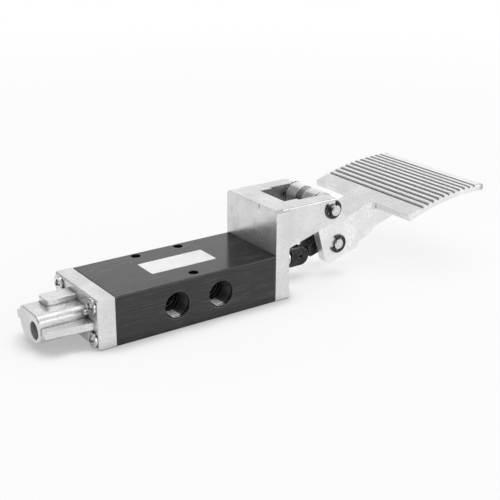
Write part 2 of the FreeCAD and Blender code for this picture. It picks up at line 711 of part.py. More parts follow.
def make_spring():
    """Return spring between the bottom of the cap's chamber and the spring seat."""
    seat = f"({REAR_LAND} - end_land_width / 2 - seat_thickness)"
    bottom = f"({REAR_FACE} - chamber_depth)"
    height = f"({seat} - {bottom} - spring_wire - seat_gap)"
    path = DOC.addObject("Part::Helix", "spring_path")
    bind(path, Radius="spring_dia / 2", Height=height, Pitch=f"{height} / spring_turns")
    path.SegmentLength = 0.25
    wire = DOC.addObject("Part::Circle", "spring_section")
    wire.Placement.Rotation = FreeCAD.Rotation(FreeCAD.Vector(1, 0, 0), 90)
    bind(wire, Radius="spring_wire / 2")
    place(wire, "spring_dia / 2")
    coil = DOC.addObject("Part::Sweep", "return_spring")
    coil.Sections = [wire]
    coil.Spine = (path, [])
    coil.Solid = True
    coil.Frenet = True
    coil.Placement.Rotation = FreeCAD.Rotation(FreeCAD.Vector(0, 1, 0), 90)
    place(coil, f"{bottom} + spring_wire / 2 + seat_gap / 2", along_z="axis_height")
    return coil


def make_clevis():
    """Fork on the rod's stud, slotted for the link's tongue."""
    body = new_body("spool_clevis")
    back = "(rod_reach - clevis_reach)"
    side = new_sketch(body, "XZ_Plane")
    outline(side, [
        (back, "-clevis_radius"), ("0", "-clevis_radius", "clevis_radius", 1),
        ("clevis_radius", "0", "clevis_radius", 1), ("0", "clevis_radius"),
        (back, "clevis_radius"), (back, "rod_dia / 2"),
        (f"{back} + rod_cone", "stud_dia / 2"), (f"{back} + rod_cone", "-stud_dia / 2"),
        (back, "-rod_dia / 2"),
    ])
    pad(body, side, "clevis_width", "Symmetric")
    slot = new_sketch(body, "XZ_Plane")
    rectangle(slot, "-clevis_slot_back", "clevis_radius * 2", "-clevis_radius * 2", "clevis_radius * 2")
    pocket(body, slot, "clevis_slot", "Symmetric")
    pin_hole = hole_sketch(body, "XZ_Plane", "0", [("0", "0")], "spool_pin_dia / 2 + slip_gap")
    pocket(body, pin_hole, "clevis_width + 1", "Symmetric")
    stud_hole = hole_sketch(body, "YZ_Plane", "-clevis_slot_back", [("0", "0")],
                            "stud_dia / 2 + slip_gap")
    pocket(body, stud_hole, "clevis_reach - rod_reach")
    place(body, SPOOL_PIN_X, along_z="axis_height")
    return body


def make_spool_pin():
    """Hollow spring pin through the clevis and the link's tongue."""
    body = new_body("spool_pin")
    tube = new_sketch(body, "XZ_Plane")
    ring(tube, "0", "0", "spool_pin_dia / 2")
    ring(tube, "0", "0", "spool_pin_hole / 2")
    pad(body, tube, "clevis_width - 2 * spool_pin_inset", "Symmetric")
    slit = new_sketch(body, "XZ_Plane")
    rectangle(slit, "-spool_pin_dia", "0", "-spool_pin_hole / 6", "spool_pin_hole / 6")
    pocket(body, slit, "clevis_width", "Symmetric")
    place(body, SPOOL_PIN_X, along_z="axis_height")
    return body


def make_link():
    """Link from the spool pin up to the link pin: thin tongue, bar and round eye."""
    body = new_body("link")
    tongue = new_sketch(body, "XZ_Plane")
    outline(tongue, [
        ("0", "-tongue_radius"), ("link_shoulder + 1", "-tongue_radius"),
        ("link_shoulder + 1", "tongue_radius"), ("0", "tongue_radius", "tongue_radius", 1),
        ("-tongue_radius", "0", "tongue_radius", 1),
    ])
    pad(body, tongue, "tongue_thickness", "Symmetric")
    bar = new_sketch(body, "XZ_Plane")
    rectangle(bar, "link_shoulder", LINK_LENGTH, "-link_bar / 2", "link_bar / 2")
    pad(body, bar, "link_width", "Symmetric")
    eye = hole_sketch(body, "XZ_Plane", "0", [(LINK_LENGTH, "0")], "link_eye_radius")
    pad(body, eye, "link_width", "Symmetric")
    small = hole_sketch(body, "XZ_Plane", "0", [("0", "0")], "spool_pin_dia / 2 + running_gap")
    pocket(body, small, "link_width", "Symmetric")
    large = hole_sketch(body, "XZ_Plane", "0", [(LINK_LENGTH, "0")], "pin_dia / 2 + open_play")
    pocket(body, large, "link_width + 1", "Symmetric")
    body.Placement.Rotation = FreeCAD.Rotation(FreeCAD.Vector(0, -1, 0), 1)
    bind(body, Placement__Rotation__Angle=LINK_ANGLE)
    place(body, SPOOL_PIN_X, along_z="axis_height")
    return body


def make_pin(label, half_span, overhang, place_x, place_z):
    """Round pin with bevelled ends and a clip groove near each end."""
    body = new_body(label)
    section = new_sketch(body, "XY_Plane")
    end = f"({half_span} + clip_thickness + 2 * side_gap + {overhang})"
    inner, outer = f"({half_span})", f"({half_span} + clip_thickness + 2 * side_gap)"
    radius, bed = "pin_dia / 2", "pin_groove_dia / 2"
    right = [
        (radius, f"-{end} + pin_bevel"), (radius, f"-{outer}"), (bed, f"-{outer}"),
        (bed, f"-{inner}"), (radius, f"-{inner}"), (radius, inner), (bed, inner), (bed, outer),
        (radius, outer), (radius, f"{end} - pin_bevel"),
    ]
    tip = f"{radius} - pin_bevel"
    outline(section, [("0", f"-{end}"), (tip, f"-{end}")] + right + [(tip, end), ("0", end)])
    turned(body, section, "V_Axis")
    place(body, place_x, along_z=place_z)
    return body


def make_clips(label, half_span, place_x, place_z, mouth_angle):
    """Two retaining clips, open on one side, with crescent pockets inside."""
    clip = new_body(label + "_near")
    disc = new_sketch(clip, "XZ_Plane")
    ring(disc, "0", "0", "clip_dia / 2")
    ring(disc, "0", "0", "pin_groove_dia / 2 + slip_gap")
    pad(clip, disc, "clip_thickness")
    mouth = new_sketch(clip, "XZ_Plane")
    rim = "(clip_mouth / 2 + clip_flare)"
    outline(mouth, [
        ("0", "-clip_mouth / 2"), ("clip_dia / 2", "-" + rim), ("clip_dia / 2", rim),
        ("0", "clip_mouth / 2"),
    ])
    pocket(clip, mouth, "clip_thickness", reverse=True)
    spots = [("-pin_groove_dia / 4", f"{side}(pin_groove_dia / 2 + clip_pocket / 4)")
             for side in ("", "-")]
    crescents = hole_sketch(clip, "XZ_Plane", "0", spots, "clip_pocket / 2")
    pocket(clip, crescents, "clip_thickness", reverse=True)
    clip.Placement.Rotation = FreeCAD.Rotation(FreeCAD.Vector(0, -1, 0), mouth_angle)
    place(clip, place_x, f"-({half_span} + side_gap)", place_z)
    return pair(label, clip)


def make_washers(label, outer_dia, inner_face, thickness, place_x, place_z):
    """Two washers, one on each side of the middle plane."""
    washer = new_body(label + "_near")
    disc = new_sketch(washer, "XZ_Plane")
    ring(disc, "0", "0", outer_dia)
    ring(disc, "0", "0", "pin_dia / 2 + running_gap")
    pad(washer, disc, thickness)
    place(washer, place_x, f"-({inner_face})", place_z)
    return pair(label, washer)


def make_spacer():
    """Sleeve on the pivot pin between the pedal's two hubs."""
    body = new_body("hub_spacer")
    section = new_sketch(body, "XZ_Plane")
    ring(section, "0", "0", "spacer_dia / 2")
    ring(section, "0", "0", "pin_dia / 2 + running_gap")
    pad(body, section, "hub_gap - 4 * side_gap", "Symmetric")
    place(body, PIVOT_X, along_z="pivot_height")
    return body


def lever_outline(drawing):
    """Draws a lever plate, from the pivot down to the link pin."""
    outline(drawing, [
        ("-hub_radius", "0", "hub_radius", 1), ("-hub_radius * 0.5", "-hub_radius * 0.866"),
        ("lever_x - 7.4", "-lever_drop - 7.1", "3.4", 1), ("lever_x - 4.4", "-lever_drop - 8.9"),
        ("lever_x + 11.4", "-lever_drop - 4.6", "2", 1), ("lever_x + 12.9", "-lever_drop - 2.1"),
        ("lever_x + 9.8", "-lever_drop + 6.9"), ("lever_x + 1.9", "-lever_drop + 15.4"),
        ("hub_radius * 0.866", "hub_radius * 0.5", "hub_radius", 1),
        ("0", "hub_radius", "hub_radius", 1),
    ])


def make_lever():
    """Lower half of the pedal casting: two hubs and two lever plates."""
    body = new_body("pedal_lever")
    plates = new_sketch(body, "XZ_Plane")
    lever_outline(plates)
    pad(body, plates, "hub_width", "Symmetric")
    between = new_sketch(body, "XZ_Plane")
    rectangle(between, "-lever_drop", "lever_drop + lever_x", "-lever_drop * 2", "-hub_radius - 0.6")
    pocket(body, between, "hub_width - 2 * plate_thickness", "Symmetric")
    split = new_sketch(body, "XZ_Plane")
    rectangle(split, "-hub_radius * 2", "neck_back", "-hub_radius * 2", "hub_radius * 2")
    pocket(body, split, "hub_gap", "Symmetric")
    place(body, PIVOT_X, along_z="pivot_height")
    return body


def make_neck():
    """Neck between the lever plates and the tread, with a bevelled front end."""
    body = new_body("pedal_neck")
    side = new_sketch(body, "XZ_Plane")
    outline(side, [
        ("neck_back", "-lever_drop - 4.5"), ("neck_back + 8", "-lever_drop - 2.3"),
        ("hinge_edge_x + 0.7", "-lever_drop + 1"), ("hinge_edge_x + 2.1", "-lever_drop + 3.2"),
        ("hinge_edge_x - 0.6", "crown_z - 12.8"), ("hinge_edge_x + 3.5", f"{EDGE_Z} - 0.6"),
        ("hinge_edge_x", EDGE_Z), ("neck_back", "crown_z - 13"),
    ])
    pad(body, side, "neck_width", "Symmetric")
    place(body, PIVOT_X, along_z="pivot_height")
    return body


def make_neck_root():
    """Hollow rounding between the neck and the tread's rear edge: a slab cut by a plan view."""
    slab = new_body("neck_root_side")
    side = new_sketch(slab, "XZ_Plane")
    start = "(hinge_edge_x - neck_flare)"
    start_z = f"({EDGE_Z} - neck_flare * ({EDGE_Z} - crown_z + 13) / (hinge_edge_x - neck_back))"
    outline(side, [
        (start, f"{start_z} - tread_thickness"), ("hinge_edge_x + 1", f"{EDGE_Z} - tread_thickness"),
        ("hinge_edge_x + 1", EDGE_Z), ("hinge_edge_x", EDGE_Z), (start, start_z),
    ])
    pad(slab, side, "neck_width * 2", "Symmetric")
    plan = new_body("neck_root_plan")
    above = new_sketch(plan, "XY_Plane")
    half, wide = "neck_width / 2", "neck_width / 2 + neck_flare"
    front = "hinge_edge_x"
    outline(above, [
        (start, f"-{half}", "neck_flare", -1), (front, f"-({wide})"),
        ("hinge_edge_x + 1", f"-({wide})"), ("hinge_edge_x + 1", wide),
        (front, wide, "neck_flare", -1), (start, half),
    ])
    pad(plan, above, "lever_drop * 4", "Symmetric")
    root = DOC.addObject("Part::MultiCommon", "neck_root")
    root.Shapes = [slab, plan]
    place(root, PIVOT_X, along_z="pivot_height")
    return root


def tread_point(angle, depth="0"):
    """A point of the tread's side, by its angle from the crown and its depth below the top."""
    return f"(crown_radius - {depth}) * sin({angle})", f"(crown_radius - {depth}) * cos({angle})"


def corner_waste(drawing, edge_x, inward, side_y):
    """Draws what is cut off one corner of the tread to round it, seen from above."""
    round_x = f"{edge_x} + {inward} * tread_corner"
    outer_y, round_y = f"{side_y} * (tread_width / 2 + 1)", f"{side_y} * (tread_width / 2 - tread_corner)"
    outline(drawing, [
        (f"{edge_x} - {inward}", outer_y), (round_x, outer_y),
        (round_x, f"{side_y} * tread_width / 2", "tread_corner", inward * side_y),
        (edge_x, round_y), (f"{edge_x} - {inward}", round_y),
    ])


def make_tread():
    """Crowned tread plate with a row of grooves across it.

    The piece's own origin is the centre of the crown's curve.
    """
    body = new_body("pedal_tread")
    rear = "-asin((crown_x - hinge_edge_x) / crown_radius)"
    toe = "asin((toe_x - crown_x - tread_thickness / 2) / crown_radius)"
    side = new_sketch(body, "XZ_Plane")
    outline(side, [
        (*tread_point(rear), "crown_radius", -1), (*tread_point(toe), "tread_thickness * 0.53", -1),
        (*tread_point(toe, "tread_thickness"), "crown_radius - tread_thickness", 1),
        tread_point(rear, "tread_thickness"),
    ])
    pad(body, side, "tread_width", "Symmetric")
    softened(body, "Chamfer", "tread_bevel", lambda edge: edge.BoundBox.YLength < 0.01
             and near(abs(edge.BoundBox.YMax), "tread_width / 2")
             and near(getattr(edge.Curve, "Radius", 0), "crown_radius"))
    corners = new_sketch(body, "XY_Plane")
    for edge_x, inward in (("hinge_edge_x - crown_x", 1), ("toe_x - crown_x", -1)):
        for side_y in (1, -1):
            corner_waste(corners, edge_x, inward, side_y)
    pocket(body, corners, "crown_radius * 3", "Symmetric")
    groove = new_sketch(body, "XZ_Plane")
    slope = "(180 deg / pi / crown_radius)"
    first = f"{rear} + groove_start * {slope}"
    outline(groove, [
        tread_point(f"({first} - groove_width / 2 * {slope})", "0"),
        tread_point(f"({first} - groove_floor / 2 * {slope})", "groove_depth"),
        tread_point(f"({first} + groove_floor / 2 * {slope})", "groove_depth"),
        tread_point(f"({first} + groove_width / 2 * {slope})", "0"),
        tread_point(f"({first} + groove_width / 2 * {slope})", "-groove_depth"),
        tread_point(f"({first} - groove_width / 2 * {slope})", "-groove_depth"),
    ])
    cut = pocket(body, groove, "tread_width + 1", "Symmetric")
    rows = body.newObject("PartDesign::PolarPattern", "tread_grooves")
    rows.Originals = [cut]
    across = next(item for item in body.Origin.OriginFeatures if item.Role == "Y_Axis")
    rows.Axis = (across, [""])
    bind(rows, Angle=f"(groove_count - 1) * groove_pitch * {slope}", Occurrences="groove_count")
    body.Tip = rows
    place(body, f"{PIVOT_X} + crown_x", along_z="pivot_height + crown_z - crown_radius")
    return body


def make_rib():
    """One of the two ribs that run on under the tread from the neck's sides."""
    body = new_body("pedal_rib")
    side = new_sketch(body, "XZ_Plane", "neck_width / 2 - rib_inset - rib_thickness")
    outline(side, [
        ("hinge_edge_x - 2", "-lever_drop + 2.9"), ("hinge_edge_x + 2", "-lever_drop + 2.9"),
        ("hinge_edge_x + 14", "-lever_drop + 6.5"), ("rib_reach - 9", "crown_z - 11.5"),
        ("rib_reach", "crown_z - 4"), ("rib_reach", "crown_z - 2.2"),
        ("hinge_edge_x + 24", "crown_z - 3"), ("hinge_edge_x + 14", "crown_z - 4.8"),
        ("hinge_edge_x + 2.5", "crown_z - 8.1"), ("hinge_edge_x - 2", "crown_z - 9"),
    ])
    pad(body, side, "rib_thickness")
    place(body, PIVOT_X, along_z="pivot_height")
    return body


def make_pedal():
    """The pedal casting: lever, neck, tread and ribs in one piece, with its two pin holes."""
    casting = DOC.addObject("Part::MultiFuse", "pedal_casting")
    rib = make_rib()
    casting.Shapes = [
        make_lever(), make_neck(), make_neck_root(), make_tread(), rib, mirror_copy(rib, "y")]
    casting.Refine = True
    drills = []
    for name, place_x, place_z, play in (
        ("pivot_drill", PIVOT_X, "pivot_height", "running_gap"),
        ("link_pin_drill", LINK_PIN_X, LINK_PIN_Z, "slip_gap"),
    ):
        drill = DOC.addObject("Part::Cylinder", name)
        drill.Placement.Rotation = FreeCAD.Rotation(FreeCAD.Vector(1, 0, 0), 90)
        bind(drill, Radius=f"pin_dia / 2 + {play}", Height="hub_width + 2")
        place(drill, place_x, "hub_width / 2 + 1", place_z)
        drills.append(drill)
    holes = DOC.addObject("Part::MultiFuse", "pin_drills")
    holes.Shapes = drills
    pedal = DOC.addObject("Part::Cut", "pedal")
    pedal.Base = casting
    pedal.Tool = holes
    return pedal


def make_screw_set(label, place_x, thickness, mirrored):
    """Four pan head screws with cross recesses, all in one group."""
    screw = new_body(label + "_one")
    section = new_sketch(screw, "XZ_Plane")
    shank = f"-({thickness} + gasket_thickness + screw_bite)"
    head, rim = "screw_head_dia / 2", "screw_head_height * 0.4"
    outline(section, [
        (shank, "0"), (shank, "screw_dia / 2 - pin_bevel"), (f"{shank} + pin_bevel", "screw_dia / 2"),
        ("0", "screw_dia / 2"), ("0", head), (rim, head, "screw_head_dia * 0.66", 1),
        ("screw_head_height", "0"),
    ])
    turned(screw, section)
    cross = new_sketch(screw, "YZ_Plane", "screw_head_height")
    long, short = "recess_span / 2", "recess_slot / 2"
    outline(cross, [
        (f"-{long}", f"-{short}"), (f"-{short}", f"-{short}"), (f"-{short}", f"-{long}"),
        (short, f"-{long}"), (short, f"-{short}"), (long, f"-{short}"), (long, short),
        (short, short), (short, long), (f"-{short}", long), (f"-{short}", short), (f"-{long}", short),
    ])
    pocket(screw, cross, "recess_depth")
    if mirrored:
        screw.Placement.Rotation = FreeCAD.Rotation(FreeCAD.Vector(0, 0, 1), 180)
    place(screw, place_x, "-" + SCREW_Y, "screw_rise")
    upper = mirror_copy(screw, "z", "body_height / 2")
    return group(label, [screw, upper, mirror_copy(screw, "y"), mirror_copy(upper, "y")])


def make_all():
    """Builds every piece of the valve, in the order in which it is put together."""
    link_washer = "hub_width / 2 - plate_thickness - link_width / 2 - 2 * side_gap"
    hub_washer_y = "relief_width / 2 - side_gap - hub_washer_thickness"
    return [
        make_valve_body(),
        make_gasket("rear_gasket", REAR_FACE, "bore_dia / 2 + gasket_inset"),
        make_rear_cap(),
        make_screw_set("rear_cap_screws", f"{REAR_FACE} - cap_thickness", "cap_thickness", True),
        make_gasket("front_gasket", "body_length / 2", "bore_dia / 2 + gasket_inset"),
        make_bracket(),
        make_screw_set("bracket_screws", f"{FRONT_FACE} + bracket_plate", "bracket_plate", False),
        make_rod_bush(),
        make_rod_seal(),
        make_spring(),
        make_spring_seat(),
        make_spool(),
        make_seals(),
        make_clevis(),
        make_spool_pin(),
        make_link(),
        make_pedal(),
        make_pin("pivot_pin", f"{EAR_WIDTH} / 2", "pivot_overhang", PIVOT_X, "pivot_height"),
        make_clips("pivot_clips", f"{EAR_WIDTH} / 2", PIVOT_X, "pivot_height", 100),
        make_washers("hub_washers", "hub_washer_dia / 2", hub_washer_y, "hub_washer_thickness",
                     PIVOT_X, "pivot_height"),
        make_spacer(),
        make_pin("link_pin", "hub_width / 2", "link_overhang", LINK_PIN_X, LINK_PIN_Z),
        make_washers("link_washers", "link_washer_dia / 2", "link_width / 2 + side_gap",
                     link_washer, LINK_PIN_X, LINK_PIN_Z),
        make_clips("link_clips", "hub_width / 2", LINK_PIN_X, LINK_PIN_Z, 160),
    ]


def check_and_write(pieces):
    """Stops on any failed object or shape, then writes each piece to its file."""
    DOC.recompute()
    for item in DOC.Objects:
        if "Invalid" in item.State or "Error" in item.State:
            raise ValueError(f"{item.Label} failed: {item.State}")
    for piece in pieces:
        if piece.Shape.isNull() or not piece.Shape.isValid():
            raise ValueError(f"{piece.Label} has no valid shape")
    os.makedirs("parts", exist_ok=True)
    for piece in pieces:
        piece.Shape.exportStep(os.path.join("parts", piece.Label + ".step"))
        print(piece.Label, len(piece.Shape.Solids), "solids", round(piece.Shape.Volume, 1), "mm3")


fill_sheet()
check_and_write(make_all())
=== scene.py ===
"""Looks of a foot pedal air valve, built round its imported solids.

The solids keep their shapes and get their finishes here. The bare label plate, the threads in
the five side ports, the pip on the rear cap and a return spring that shortens are pieces of
their own, and a pale studio stands round the valve.
"""

import logging
import math
from collections.abc import Callable, Sequence
from dataclasses import dataclass
from enum import Enum

import bmesh
import bpy
from mathutils import Matrix, Vector


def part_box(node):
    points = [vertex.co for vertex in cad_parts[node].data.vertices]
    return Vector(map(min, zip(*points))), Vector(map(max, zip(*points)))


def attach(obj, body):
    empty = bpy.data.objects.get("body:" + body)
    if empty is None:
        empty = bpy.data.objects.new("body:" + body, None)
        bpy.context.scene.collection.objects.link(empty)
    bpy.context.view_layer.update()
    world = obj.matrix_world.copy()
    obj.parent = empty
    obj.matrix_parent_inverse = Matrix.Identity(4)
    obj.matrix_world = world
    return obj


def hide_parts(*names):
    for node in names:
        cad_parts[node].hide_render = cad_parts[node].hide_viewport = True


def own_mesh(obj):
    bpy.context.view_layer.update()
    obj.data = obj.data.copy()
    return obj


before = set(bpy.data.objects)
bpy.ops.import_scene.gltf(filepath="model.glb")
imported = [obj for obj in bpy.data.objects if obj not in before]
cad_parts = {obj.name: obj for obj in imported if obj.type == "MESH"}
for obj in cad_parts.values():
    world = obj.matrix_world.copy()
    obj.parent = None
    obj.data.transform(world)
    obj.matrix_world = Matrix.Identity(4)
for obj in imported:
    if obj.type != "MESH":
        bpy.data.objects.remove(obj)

LOG = logging.getLogger("foot_pedal_valve")
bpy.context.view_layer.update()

Colour = tuple[float, float, float]
Pair = tuple[float, float]
Triple = tuple[float, float, float]
Socket = bpy.types.NodeSocket
Sockets = dict[str, Socket]
Value = float | Socket
Ring = list[bmesh.types.BMVert]

FULL_TURN = 2 * math.pi
CREASE = math.radians(35)  # sharper edges than this stay sharp on a piece built here


def grey(level: float) -> Colour:
    """Gives a neutral grey of that level."""
    return (level, level, level)


# Shader building

MIX_INPUTS = (0, 6, 7)  # sockets of the Mix node for the share and for its two colours
MIX_RESULT = 2
NOISE_ROUGHNESS = 0.55
PATCH_SPAN: Pair = (0.35, 0.65)  # levels of the noise where a patch begins and where it is full


class Graph:
    """A shader node tree that grows call by call."""

    cell = (210, -240)
    columns = 9

    def __init__(self, tree: bpy.types.NodeTree) -> None:
        """Takes hold of a node tree.

        Args:
            tree: the tree of a material, a world or a node group.
        """
        self.tree = tree

    def node(self, kind: str, **settings: object) -> bpy.types.Node:
        """Adds one node.

        Args:
            kind: the node's type, without the prefix that all shader nodes share.
            settings: properties to set on it.

        Returns:
            The new node.
        """
        made = self.tree.nodes.new("ShaderNode" + kind)
        row, column = divmod(len(self.tree.nodes), self.columns)
        made.location = (self.cell[0] * column, self.cell[1] * row)
        for name, value in settings.items():
            setattr(made, name, value)
        return made

    def feed(self, target: Socket, value: Value | Sequence[float]) -> None:
        """Links a socket into another, or sets it to a constant.

        Args:
            target: the input to fill.
            value: an output socket, a number or a vector.
        """
        if isinstance(value, bpy.types.NodeSocket):
            self.tree.links.new(value, target)
        else:
            target.default_value = value

    def operate(self, kind: str, operation: str,
                values: Sequence[Value | Sequence[float]]) -> bpy.types.NodeOutputs:
        """Adds a node that works on its inputs.

        Args:
            kind: the node's type.
            operation: what it does.
            values: its inputs in order.

        Returns:
            Its outputs.
        """
        made = self.node(kind, operation=operation)
        for socket, value in zip(made.inputs, values):
            self.feed(socket, value)
        return made.outputs

    def math(self, operation: str, *values: Value) -> Socket:
        """Gives the result of a sum on one to three values."""
        return self.operate("Math", operation, values)[0]

    def vector(self, operation: str, *values: Value | Sequence[float]) -> bpy.types.NodeOutputs:
        """Gives the outputs of a sum on vectors."""
        return self.operate("VectorMath", operation, values)

    def distance(self, across: Socket, rise: Socket) -> Socket:
        """Gives the distance from an axis.

        Args:
            across: the way from it in one direction.
            rise: the way from it in the other.

        Returns:
            The distance.
        """
        squares = self.math("MULTIPLY_ADD", across, across, self.math("MULTIPLY", rise, rise))
        return self.math("SQRT", squares)

    def ramp(self, value: Value, low: Value, high: Value, start: Value = 0.0,
             end: Value = 1.0) -> Socket:
        """Eases a value from one range to another.

        Args:
            value: what is measured.
            low: where the change begins.
            high: where the change ends.
            start: the result at and before low.
            end: the result at and past high.

        Returns:
            The eased value.
        """
        made = self.node("MapRange", interpolation_type="SMOOTHSTEP")
        for name, item in (("Value", value), ("From Min", low), ("From Max", high),
                           ("To Min", start), ("To Max", end)):
            self.feed(made.inputs[name], item)
        return made.outputs["Result"]

    def mix(self, share: Value, first: Value | Sequence[float],
            second: Value | Sequence[float]) -> Socket:
        """Mixes two colours.

        Args:
            share: how much of the second shows, from 0 to 1.
            first: the colour at 0.
            second: the colour at 1.

        Returns:
            The mixed colour.
        """
        made = self.node("Mix", data_type="RGBA")
        for index, item in zip(MIX_INPUTS, (share, first, second)):
            if isinstance(item, tuple):
                item = (*item, 1.0)
            self.feed(made.inputs[index], item)
        return made.outputs[MIX_RESULT]

    def place(self) -> Socket:
        """Gives the point on the piece, in metres."""
        return self.node("TexCoord").outputs["Object"]

    def axes(self, point: Socket) -> tuple[Socket, Socket, Socket]:
        """Splits a point or a direction into its three numbers.

        Args:
            point: the point or direction.

        Returns:
            Its X, Y and Z.
        """
        made = self.node("SeparateXYZ")
        self.feed(made.inputs[0], point)
        return made.outputs[0], made.outputs[1], made.outputs[2]

    def tilt(self) -> Socket:
        """Gives how far the surface faces up: 1 on top, 0 on a wall, -1 underneath."""
        return self.axes(self.node("NewGeometry").outputs["Normal"])[2]

    def noise(self, point: Socket, scale: Value = 1.0, detail: float = 3.0) -> Socket:
        """Adds soft random noise.

        Args:
            point: where it is read.
            scale: blotches for each unit of length.
            detail: how many finer layers lie on it.

        Returns:
            The noise, mostly between 0.3 and 0.7.
        """
        made = self.node("TexNoise")
        self.feed(made.inputs["Vector"], point)
        self.feed(made.inputs["Scale"], scale)
        made.inputs["Detail"].default_value = detail
        made.inputs["Roughness"].default_value = NOISE_ROUGHNESS
        return made.outputs["Fac"]

    def patches(self, scale: float, detail: float, span: Pair = PATCH_SPAN,
                least: float = 0.0) -> Socket:
        """Adds patches that lie at random on the piece.

        Args:
            scale: patches for each metre.
            detail: how many finer layers they have.
            span: levels of the noise where a patch begins and where it is full.
            least: the level between the patches.

        Returns:
            The patches, from that level to 1.
        """
        return self.ramp(self.noise(self.place(), scale, detail), *span, least, 1.0)


class Effect(Enum):
    """Surface effects that several finishes share, each one node group."""

    CAST_SKIN = "cast_skin"
    STREAKS = "brushed_streaks"
    EDGE_WEAR_AND_LIGHT = "edge_wear_and_light"
    PAINTED_CORNER_SHADE = "painted_crevice_shade"
    TOOL_RINGS = "tool_rings"


MOTTLE_RATE = 0.38  # blotches of mottling on the length of one grain
PORE_RATE = 0.35  # pores on the length of one grain
PORE_SLOPE: Pair = (0.06, 0.16)  # distances from a pore's middle where its slope starts and ends
PORE_FLOW: Pair = (0.56, 0.68)  # levels of the flow marks where pores begin and are all there
FLOW_HEIGHT = 0.6  # height of the flow marks against the grain
PORE_HEIGHT = -0.1
FLOW_SPAN: Pair = (0.36, 0.66)
MOTTLE_SPAN: Pair = (0.32, 0.68)
FINE_STREAKS = 3.7  # fine scratches on the width of a broad one
FINE_SHARE = 0.45
STREAK_SPAN: Pair = (0.34, 0.66)
CORNER_SAMPLES = 6
CORNER_EASE = 0.25  # how softly the painted shade of a corner fades out
RIDGE_TURN: Pair = (0.90, 0.995)  # cosines of the turn of the normal on and beside a ridge


def cast_skin(graph: Graph, given: Sockets) -> Sockets:
    """Skin of a die casting: fine blasted grain, mottling, cloudy flow marks and a few pores.

    Args:
        graph: the group's graph.
        given: sizes of the grain and of the flow marks.

    Returns:
        The relief, and the masks of clouds, mottling and pores.
    """
    point = graph.place()
    grain = graph.noise(point, graph.math("DIVIDE", 1.0, given["Grain"]), 2.0)
    mottle = graph.noise(point, graph.math("DIVIDE", MOTTLE_RATE, given["Grain"]), 2.0)
    flow = graph.noise(point, graph.math("DIVIDE", 1.0, given["Flow"]), 5.0)
    cells = graph.node("TexVoronoi")
    graph.feed(cells.inputs["Vector"], point)
    graph.feed(cells.inputs["Scale"], graph.math("DIVIDE", PORE_RATE, given["Grain"]))
    pores = graph.ramp(cells.outputs["Distance"], *PORE_SLOPE, 1.0, 0.0)
    pores = graph.math("MULTIPLY", pores, graph.ramp(flow, *PORE_FLOW))
    height = graph.math("MULTIPLY_ADD", flow, FLOW_HEIGHT, grain)
    return {"Height": graph.math("MULTIPLY_ADD", pores, PORE_HEIGHT, height),
            "Clouds": graph.ramp(flow, *FLOW_SPAN),
            "Mottle": graph.ramp(mottle, *MOTTLE_SPAN),
            "Pores": pores}


def brushed_streaks(graph: Graph, given: Sockets) -> Sockets:
    """Fine scratches that all run one way.

    Args:
        graph: the group's graph.
        given: the scratches for each metre along each axis.

    Returns:
        The scratches' mask and their relief.
    """
    point = graph.vector("MULTIPLY", graph.place(), given["Stretch"])[0]
    broad = graph.noise(point, 1.0, 2.0)
    fine = graph.noise(point, FINE_STREAKS, 2.0)
    mixed = graph.math("MULTIPLY_ADD", fine, FINE_SHARE,
                       graph.math("MULTIPLY", broad, 1.0 - FINE_SHARE))
    return {"Streaks": graph.ramp(mixed, *STREAK_SPAN), "Height": mixed}


def edge_wear_and_light(graph: Graph, given: Sockets) -> Sockets:
    """Slightly rounded edges, with a patchy mask along their ridges for wear, painted highlights
    and painted dark lines.

    Args:
        graph: the group's graph.
        given: the edges' radius.

    Returns:
        The ridges' mask and the rounded normal.
    """
    bevel = graph.node("Bevel", samples=CORNER_SAMPLES)
    graph.feed(bevel.inputs["Radius"], given["Radius"])
    flat = graph.node("NewGeometry").outputs["Normal"]
    turn = graph.vector("DOT_PRODUCT", bevel.outputs[0], flat)["Value"]
    # edge mask, on which finishes lay wear, painted highlights and painted dark lines
    ridge = graph.ramp(turn, *RIDGE_TURN, 1.0, 0.0)
    worn_and_lit = graph.patches(900.0, 3.0, (0.30, 0.55), 0.8)
    return {"Ridge": graph.math("MULTIPLY", ridge, worn_and_lit), "Normal": bevel.outputs[0]}


def painted_crevice_shade(graph: Graph, given: Sockets) -> Sockets:
    """Painted shade that darkens corners, holes and grooves, broken into patches.

    Args:
        graph: the group's graph.
        given: how far off the walls lie that hold it, and how open the spots are where half of
            it has gone.

    Returns:
        The painted shade's mask.
    """
    # painted shade: ambient occlusion darkens spots where walls lie close
    corner = graph.node("AmbientOcclusion", samples=CORNER_SAMPLES)
    graph.feed(corner.inputs["Distance"], given["Reach"])
    deep = graph.ramp(corner.outputs["AO"], graph.math("SUBTRACT", given["Open"], CORNER_EASE),
                      graph.math("ADD", given["Open"], CORNER_EASE), 1.0, 0.0)
    return {"PaintedShade": graph.math("MULTIPLY", deep, graph.patches(700.0, 3.0, (0.25, 0.6), 0.6))}


def tool_rings(graph: Graph, given: Sockets) -> Sockets:
    """Rings that a turning tool leaves round an axis.

    Args:
        graph: the group's graph.
        given: the two ways from the axis, and the width of a ring.

    Returns:
        The rings' mask.
    """
    turns = graph.math("DIVIDE", graph.distance(given["Across"], given["Up"]), given["Pitch"])
    uneven = graph.node("TexNoise", noise_dimensions="1D")
    graph.feed(uneven.inputs["W"], turns)
    uneven.inputs["Scale"].default_value = 1.0
    uneven.inputs["Detail"].default_value = 2.0
    return {"Rings": graph.ramp(uneven.outputs["Fac"], *PATCH_SPAN)}


